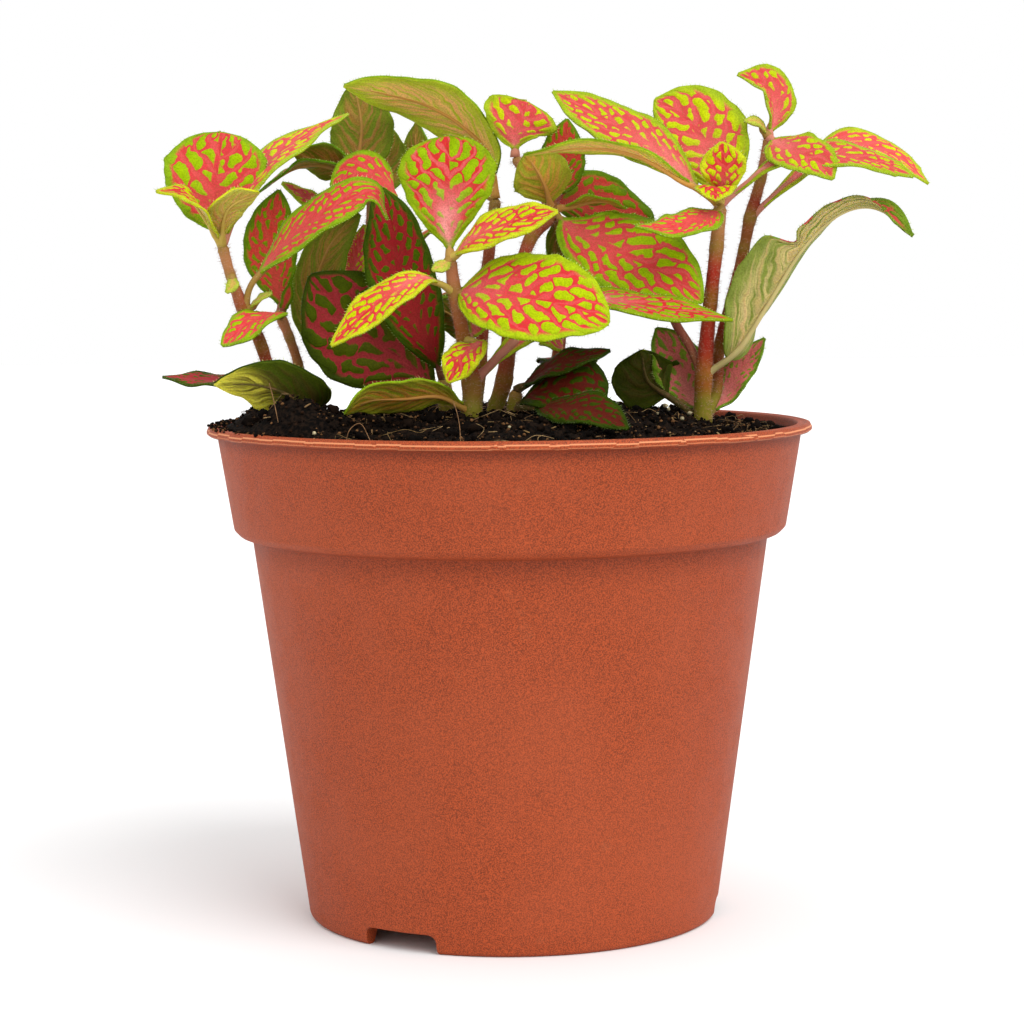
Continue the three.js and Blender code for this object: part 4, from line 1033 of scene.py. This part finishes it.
def joint_skin(path, distance, tone):
    """The stem's colour: olive at its foot and at the leaf joints, red-brown between, tan on top."""
    places, run, numbers = path
    number = np.interp(distance, run, numbers)
    height = np.interp(distance, run, places[:, 2])
    green = np.exp(-((number - np.round(number)) * 4.5) ** 2) * 0.55
    green = np.maximum(green, np.clip((GREEN_BELOW - height) / 5, 0, 1))[:, None]
    tan = np.clip((distance - run[-1] + TAN_TOP) / 9, 0, 1)[:, None] * 0.8
    skin = np.array(tone) * (1 - tan) + np.array(linear(STEM_TAN)) * tan
    return skin * (1 - green) + np.array(linear(STEM_GREEN)) * green


def down_on(batch, spots, outward, lengths, tone, random):
    """Hairs at the spots, leaning a little at random."""
    lean = outward + random.normal(0, 0.35, outward.shape)
    sizes = np.stack([np.full(len(spots), HAIR_R), lengths], axis=1)
    stamp(batch, SPIKE, spots, lean, sizes, skin=np.broadcast_to(linear(tone), (len(spots), 4)))


def down_round(batch, path, spots, side, radius, lengths, tone, random):
    """Hairs all round a stem or a stalk, at distances along its path; lengths are from and to."""
    middle, way = on_path(path, spots)
    one, other = square_to(way, side)
    angle = random.uniform(0, 2 * np.pi, len(spots))[:, None]
    outward = one * np.cos(angle) + other * np.sin(angle)
    down_on(batch, middle + outward * radius, outward, random.uniform(*lengths, len(spots)), tone,
            random)


print("hairs are drawn", 2 * HAIR_R, "mm thick")

# %% [markdown]
# ## Bend a leaf
# Each blade starts as a flat square grid. Its length is laid along the rib, its width is set by the
# outline, which is blunt at the stalk and pointed at the tip, and each half rises from the rib and
# droops again at its edge, with small waves, as in the model. The finer grid then gets what the
# model leaves out: raised cushions between the side veins, and an uneven margin. A Solidify modifier
# gives the blade its thickness, with the lower side's finish inside.

# %% Lay out a blade
GRID = 0.55        # mm between the blade's points
BLADE_THICK = 0.42 # mm; the model's blades are thicker, so that they can be made
WINGED = 7         # mm; a pink leaf with a longer stalk has wings on it
NOTCH_STEP = 0.05  # how fast the blade narrows at a tear, as a share of its length


def blade_outline(share, row):
    """Half the blade's width at each share of its length."""
    power = math.log(0.5) / math.log(row.belly)
    inside = np.clip(share, 1e-6, 1)
    swell = np.sin(np.pi * inside ** power) ** row.bulge
    half = np.maximum(row.wide / 2 * swell, row.stalk_r * (1 - inside) + 0.35)
    return np.where(share <= 0, row.stalk_r, half)


def lay_out(row, start, random):
    """A blade's grid: the share of the rib and the side (v) of each point, and how far out it is."""
    path = trace([start, *row.via])
    long = path[1][-1]
    blade_long = long - row.stalk
    winged = row.stalk > WINGED and row.kind == "pink"
    foot = 0.3 * row.stalk if winged else row.stalk
    rows = max(10, round((long - foot) / GRID))
    points, faces = sheet_shape(2 * max(3, round(row.wide / 2 / GRID)), rows)
    v = points[:, 0]
    share = ((points[:, 1] + 1) / 2 * (long - foot) + foot - row.stalk) / blade_long
    half = blade_outline(share, row)
    if winged:
        wing = np.clip((share * blade_long + row.stalk - foot) / row.stalk, 0, 1)
        half = np.maximum(half, 0.6 + 2.2 * wing ** 1.3)
        half = np.where(share > 0.9, blade_outline(share, row), half)
    edge_wave = random.uniform(0, 6.28, 3)
    uneven = (1 + 0.018 * np.sin(27 * share + edge_wave[0] + 2 * np.sign(v))
              + 0.012 * np.sin(53 * share + edge_wave[1]) * np.sign(v))
    out = np.abs(v) * half * (1 + (uneven - 1) * v ** 2)
    if row.notch:
        at, keep, notch_side = row.notch
        past = np.clip((share - at) / NOTCH_STEP, 0, 1)
        torn = 0.35 * np.exp(-((share - at - 0.03) / 0.025) ** 2)
        out = out * np.where(v * notch_side > 0, 1 - (1 - keep) * past - torn, 1)
    chord = np.array(row.via[-1], float) - np.array(start, float)
    side = np.cross(chord / np.linalg.norm(chord), row.face)
    return SimpleNamespace(path=path, long=blade_long, winged=winged, rows=rows, faces=faces, v=v,
                           share=share, half=half, out=out, side=side / np.linalg.norm(side))


print("a blade's points are", GRID, "mm apart")

# %% [markdown]
# Side veins run outward and forward from the rib. Their number comes from the blade's length and
# width, so the cells keep about the same size in millimetres on every leaf, a little larger on wide
# ones. The phase counts the side veins along the blade, and is shifted by a half on one side.

# %% Bend a blade
CUP = 0.12         # how far the halves droop at their edges
RIPPLE = 0.4       # mm, the waves of the margin
CUSHION = 0.26     # mm, how far the skin rises between two side veins


def count_veins(row, blade):
    """Adds the side veins' phase, their distance, and how square they stand to the rib."""
    spread = 0.22 + 0.1 * min(1, row.wide / blade.long)
    blade.steep = row.wide / 2 / math.hypot(row.wide / 2, (spread + 0.1) * blade.long)
    count = max(3, round(blade.long * blade.steep / (0.3 + 0.14 * row.wide)))
    v = blade.v
    blade.phase = count * (blade.share - spread * np.abs(v) - 0.14 * v ** 2)
    blade.phase = blade.phase + np.where(v > 0, 0.5, 0.0)
    blade.spacing = blade.long / count * blade.steep


def bend_blade(row, blade):
    """The grid's points on the bent blade, and the directions along, right and up at each."""
    v, share, out = blade.v, blade.share, blade.out
    centre, along = on_path(blade.path, row.stalk + share * blade.long)
    right, up = square_to(along, blade.side)
    lean = np.radians(row.turn) * np.clip((share - 0.6) / 0.4, 0, 1)[:, None] ** 1.5
    right, up = right * np.cos(lean) + up * np.sin(lean), up * np.cos(lean) - right * np.sin(lean)
    flat = np.clip(6 * share + (0.5 if blade.winged else 0), 0, 1)
    ripple = RIPPLE * np.sin(14 * share + 2 * v + row.wide) * v ** 2
    height = out * (math.tan(math.radians(row.fold)) - CUP * np.abs(v))
    height = flat * (height + ripple * np.minimum(1, blade.half / 4))
    rise = np.abs(np.sin(np.pi * blade.phase)) ** 0.8 - 0.6
    height += (CUSHION * flat * rise * np.clip((blade.half - out) / 2, 0, 1)
               * np.clip(out / 1.2, 0, 1))
    bent = centre + right * (np.sign(v) * out)[:, None] + up * (height + BLADE_THICK / 2)[:, None]
    return bent, along, right, up


print("a blade is", BLADE_THICK, "mm thick")

# %% Notes for the veins
NUMBER_STEP = 20   # added to the phase, so that each leaf has its own cells


def vein_notes(row, blade, random):
    """What the leaf's finishes read at each point of the blade."""
    share, out = blade.share, blade.out
    cells, rim, nerves, stain, wash, weight, back, ribs = KINDS[row.kind]
    tint = random.normal(0, 0.06)
    across = out / (blade.half + 0.01)
    vein_half = (weight * np.interp(across, [0, 0.9], [0.68, 0.38])
                 * np.interp(share, [0.1, 1], [1.1, 0.75]) * (0.55 + 0.45 * min(row.wide / 18, 1)))
    rib_half = np.interp(share, [0, 1], [0.65, 0.3]) * weight
    wash_here = wash * np.clip(1.25 - across / 0.55, 0, 1) * np.clip(1.2 - share / 0.5, 0, 1)
    vein_half = vein_half * (1 + 0.6 * wash_here)
    phase = blade.phase + NUMBER_STEP * int(random.integers(50))
    soft_margin = (blade.half - out) / min(max(row.wide / 15, 0.45), 1.1)
    down_vein = out * blade.steep + share * blade.long * math.sqrt(1 - blade.steep ** 2)

    def shade(code):
        red, green, blue, alpha = linear(code)
        return (red * (1 + tint), green * (1 + tint * 0.6), blue * (1 + tint), alpha)
    back_here = np.broadcast_to(shade(back), (len(share), 4))
    # Painted light: the flap leaf's lower side turns to the brighter flap tone towards its lit tip.
    if row.kind == "flap":
        painted_light_on_tip = np.clip((share + 0.25 * blade.v - 0.5) / 0.15, 0, 1)[:, None]
        back_here = back_here * (1 - painted_light_on_tip) + np.array(linear(FLAP_PAINTED_LIGHT_TONE)) * painted_light_on_tip
    return dict(
        blade_mm=np.stack([down_vein, np.sign(blade.v) * out], axis=1),
        veins=np.stack([phase, soft_margin, rib_half], axis=1),
        about=np.stack([np.full(len(share), blade.spacing), vein_half, wash_here], axis=1),
        cells=shade(cells), rim=shade(rim), nerves=shade(nerves), stain=linear(stain),
        back=back_here, ribs=linear(ribs))


print("each blade carries nine notes")

# %% [markdown]
# The stalk runs on under the blade as its raised rib, thinner and thinner. Hairs stand along both
# margins and round the stalk.

# %% Stalks and fringes
RIB_REACH = 0.86   # the share of the blade's length where the raised rib ends
DOWN_PER_MM = 7


def add_stalk(row, blade, stalks):
    """The stalk, sunk into the blade's lower side where it runs on as the rib."""
    def stalk_radius(distance):
        on_blade = np.clip((distance - row.stalk) / blade.long, 0, 1)
        base = row.stalk_r * np.interp(on_blade, [0, 0.12, RIB_REACH], [1, 0.72, 0.22])
        return base * (1 + 0.6 * np.exp(-distance ** 2 / 3))
    bent, faces, distance = bend_rod(blade.path, row.stalk + RIB_REACH * blade.long, stalk_radius,
                                     8, 0.9, blade.side)
    _, rod_up = square_to(on_path(blade.path, distance)[1], blade.side)
    under = np.clip((distance - row.stalk) / (0.12 * blade.long) + 0.5, 0, 1)
    bent = bent - rod_up * (under * stalk_radius(distance) * 0.9)[:, None]
    stalks.add(bent, faces, skin=linear(STALK_TONES.get(row.kind, STALK_TONE)))


def add_fringe(row, blade, bent, along, right, up, hairs, random):
    """Hairs at points drawn from the two margins, and round the stalk."""
    fringe = random.integers(0, blade.rows + 1, int(blade.long * DOWN_PER_MM))
    hair_share = np.clip(fringe / blade.rows, 0.03, 1) * 0.998
    hair_side = random.choice([-1.0, 1.0], len(hair_share))
    picked = np.argmin(np.abs(blade.share[None] - hair_share[:, None])
                       + 5 * np.abs(blade.v[None] - hair_side[:, None]), axis=1)
    outward = right[picked] * hair_side[:, None] + along[picked] * 0.5 + up[picked] * 0.1
    down_on(hairs, bent[picked], outward, random.uniform(0.25, 0.75, len(picked)),
            FRINGE_TONES.get(row.kind, FRINGE_TONE), random)
    if row.stalk > 2:
        spots = random.uniform(0.3, row.stalk, int(row.stalk * DOWN_PER_MM))
        down_round(hairs, blade.path, spots, blade.side, row.stalk_r * 0.9, (0.25, 0.7),
                   STALK_DOWN, random)


print(DOWN_PER_MM, "hairs to a millimetre of margin")

# %% Grow the shoots
SIDEWAYS = np.array([1.0, 0.13, 0.0])
STEM_DOWN_PER_MM = 26
for order, (node, shoot_rows) in enumerate(SHOOTS.items()):
    random = np.random.default_rng(100 + order)
    leaves = Batch(blade_mm=2, veins=3, about=3, cells=4, rim=4, nerves=4, stain=4, back=4, ribs=4)
    stalks, hairs = Batch(skin=4), Batch(skin=4)
    for points, radii in shoot_rows.limbs:
        path = trace(points)
        long = path[1][-1]
        radius = limb_radius(path, radii)
        tone = linear(STEM_TONES[int(random.integers(len(STEM_TONES)))])
        bent, faces, distance = bend_rod(path, long, radius, 14, 0.8, SIDEWAYS)
        stalks.add(bent, faces, skin=joint_skin(path, distance, tone))
        spots = random.uniform(6, long, int(long * STEM_DOWN_PER_MM))
        down_round(hairs, path, spots, SIDEWAYS, radius(spots)[:, None] * 0.96, (0.35, 0.95),
                   STEM_DOWN, random)
    for row in shoot_rows.leaves:
        blade = lay_out(row, shoot_rows.limbs[row.limb][0][row.at], random)
        count_veins(row, blade)
        bent, along, right, up = bend_blade(row, blade)
        leaves.add(bent, blade.faces, **vein_notes(row, blade, random))
        add_stalk(row, blade, stalks)
        add_fringe(row, blade, bent, along, right, up, hairs, random)
    name = node + "_leaves"
    piece = show(leaves.mesh(name), name, node, [leaf_upper, leaf_under])
    skin = piece.modifiers.new("thickness", "SOLIDIFY")
    skin.thickness, skin.offset = BLADE_THICK * MM, -1
    skin.material_offset, skin.use_even_offset = 1, False
    show(stalks.mesh(node + "_stems"), node + "_stems", node, [stem_skin])
    show(hairs.mesh(node + "_hairs"), node + "_hairs", node, [down])

# %% [markdown]
# ## Crumbs, bark, fibres and perlite
# Loose bits lie on the peat: crumbs of all sizes, straw-coloured bark and root fibres, and a few
# white grains of perlite, a volcanic glass that is popped like corn. Crumbs are low round shapes
# pushed out of round by noise, chips are cut from bevelled boxes, and fibres are thin bent rods.

# %% Finish and shapes of the bits
GRIT = 1.1         # mm
crumb_peat, shader, add = new_finish("peat_crumbs_moist", 0.95, 1.4, 0.1)
grit = add("TexNoise", Vector=add("TexCoord").outputs["Object"], Scale=1 / (GRIT * MM), Detail=3.0)
tint = add("Mix", add("MapRange", grit, 0.35, 0.65, 0.5, 0.0),
           add("Attribute", attribute_name="skin"), linear("#0d0806"), blend_type="MULTIPLY")
feed(shader.inputs["Base Color"], tint)
feed(shader.inputs["Normal"], add("Bump", Height=grit, Strength=0.6, Distance=0.3 * MM))


def lump_shape(cuts, seed, flat):
    """A crumb: a round shape pushed out of round by noise."""
    bm = bmesh.new()
    bmesh.ops.create_icosphere(bm, subdivisions=cuts, radius=1)
    for vert in bm.verts:
        push = noise.fractal(vert.co * 1.9 + Vector((seed * 7.3, 0, 0)), 0.9, 2.1, 2)
        vert.co *= 1 + 0.6 * push
    bmesh.ops.scale(bm, vec=(1, 0.8, flat), verts=bm.verts)
    return arrays(bm)


def chip_shape():
    """A chip of bark: a thin box with rounded edges."""
    bm = bmesh.new()
    bmesh.ops.create_cube(bm, size=1)
    bmesh.ops.scale(bm, vec=(0.8, 0.35, 1), verts=bm.verts)
    bmesh.ops.bevel(bm, geom=bm.edges[:], offset=0.09, offset_type="OFFSET", segments=1,
                    profile=0.5, affect="EDGES", material=-1)
    return arrays(bm)


def scattered(count, random, reach=55.4):
    """Places on the peat, evenly spread."""
    r = reach * np.sqrt(random.uniform(0, 1, count))
    angle = random.uniform(0, 2 * np.pi, count)
    x, y = r * np.cos(angle), r * np.sin(angle)
    z = np.array([soil_top(*spot) for spot in zip(x, y)])
    return np.stack([x, y, z], axis=1)


def drawn(codes, count, random, used=None):
    """As many colours drawn from the first of the codes."""
    return [linear(codes[k]) for k in random.integers(used or len(codes), size=count)]


fine_lumps = [lump_shape(1, k, 0.8) for k in range(5)]
big_lumps = [lump_shape(2, 9 + k, 0.75) for k in range(5)]
print("a fine crumb has", len(fine_lumps[0][1]), "faces, and a big one", len(big_lumps[0][1]))

# %% Crumbs
PEAT_TONES = ["#0a0604", "#120b07", "#0e0805", "#1c120b", "#2c1b10", "#160d08", "#4a3220", "#7a5636"]
CRUMB_SORTS = ((fine_lumps, 6300, 0.15, 0.5, 8), (big_lumps, 520, 0.4, 1.4, 4))
random = np.random.default_rng(7)
bits = Batch(skin=4)
for lumps, count, least, most, tones_used in CRUMB_SORTS:
    spots = scattered(count, random)
    size = least + (most - least) * random.uniform(0, 1, count) ** 2.2
    spots[:, 2] += size * 0.25
    axes = random.normal(0, 1, (count, 3)) * [0.7, 0.7, 1]
    tones = drawn(PEAT_TONES, count, random, tones_used)
    for k in range(len(lumps)):
        own = slice(k, None, len(lumps))
        stamp(bits, lumps[k], spots[own], axes[own], np.stack([size, size], axis=1)[own],
              skin=tones[own])
print("crumbs:", sum(sort[1] for sort in CRUMB_SORTS))

# %% Chips, perlite and spilled crumbs
CHIPS, GATHERED, SPILLED = 420, 90, 260
STRAW = ["#a88a60", "#7e6242", "#5e4630", "#48341f", "#8c7048"]
PERLITE_AT = [(30.4, -13, 102.2), (31.0, -13, 101.5), (35, -15, 100.8)]
spots = scattered(CHIPS, random)
# Some of the chips lie together at the foot of the right shoot.
spots[:GATHERED, :2] = random.normal((47, -14), (3.5, 7), (GATHERED, 2))
spots[:GATHERED, 2] = [soil_top(*spot) for spot in spots[:GATHERED, :2]]
spots[:, 2] += 0.3
axes = random.normal(0, 1, (CHIPS, 3)) * [1, 1, 0.3]
length = 0.35 + 1.5 * random.uniform(0, 1, CHIPS) ** 2
stamp(bits, chip_shape(), spots, axes, np.stack([length * 0.35, length], axis=1),
      skin=drawn(STRAW, CHIPS, random))
spots = scattered(14, random)
spots[:, 2] += 0.3
spots = np.concatenate([spots, PERLITE_AT])
stamp(bits, lump_shape(2, 30, 0.9), spots, random.normal(0, 1, spots.shape),
      np.repeat(random.uniform(0.25, 0.55, (len(spots), 1)), 2, axis=1),
      skin=[linear("#cdbf98")] * len(spots))
# Crumbs that were spilled on the lip at the left.
angle = np.radians(random.uniform(150, 222, SPILLED))
out = random.uniform(56.2, 59.9, SPILLED)
spots = np.stack([out * np.cos(angle), out * np.sin(angle), np.full(SPILLED, 98.45)], axis=1)
size = 0.15 + 0.4 * random.uniform(0, 1, SPILLED) ** 2
stamp(bits, fine_lumps[0], spots, random.normal(0, 1, (SPILLED, 3)),
      np.stack([size, size], axis=1), skin=drawn(PEAT_TONES, SPILLED, random))
show(bits.mesh("peat_crumbs"), "peat_crumbs", "soil", [crumb_peat])

# %% Root fibres
LONG_FIBRES = ([(-45.4, -27, 107.8), (-44.4, -29, 104.4), (-43.4, -32, 100.6)],
               [(-30, -46, 97.6), (-29.2, -45.5, 100), (-27.2, -45, 101), (-25.4, -46, 97.8)],
               [(-10.2, -46, 105), (-9.5, -48, 103), (-9, -50.5, 100.6), (-8.8, -53, 97.2)])
FIBRE_REACH = 54   # mm, inside the pot's wall
fibres = Batch(skin=4)


def add_fibre(knots, radius, ring_mm, side, tone):
    """A thin bent rod through the knots."""
    path = trace(knots)
    bent, faces, _ = bend_rod(path, path[1][-1], lambda d: np.full(len(d), radius), 5, ring_mm,
                              np.array(side))
    fibres.add(bent, faces, skin=linear(tone))


for knots in LONG_FIBRES:
    add_fibre(knots, 0.075, 0.5, [0.3, 1.0, 0.1], "#96704e")
for spot in scattered(90, random):
    heading = random.uniform(0, 2 * np.pi)
    length = random.uniform(2.5, 8)
    way = np.array([math.cos(heading), math.sin(heading)])
    knots = []
    for step in range(4):
        x, y = spot[:2] + way * length * (step / 3 - 0.5) + random.normal(0, 0.9, 2)
        far = max(math.hypot(x, y) / FIBRE_REACH, 1)
        x, y = x / far, y / far
        knots.append((x, y, soil_top(x, y) + 0.35 + random.uniform(0, 1.1) * (step in (1, 2))))
    add_fibre(knots, 0.055, 0.8, [0.1, 0.2, 1.0], STRAW[int(random.integers(len(STRAW)))])
show(fibres.mesh("root_fibres"), "root_fibres", "soil", [crumb_peat])

# %% [markdown]
# ## Measure
# The model's box and the dressed plant's box are set side by side, and how far the dressing grows
# past the model is printed, because the dressing must not change the plant's size.

# %% Sizes
low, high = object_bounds()
sizes = {"before": [list(cad_low), list(cad_high)], "after": [list(low), list(high)]}
print("grown past the model, mm:", [round((a - b) / MM, 2) for a, b in zip(cad_low, low)],
      [round((b - a) / MM, 2) for a, b in zip(cad_high, high)])
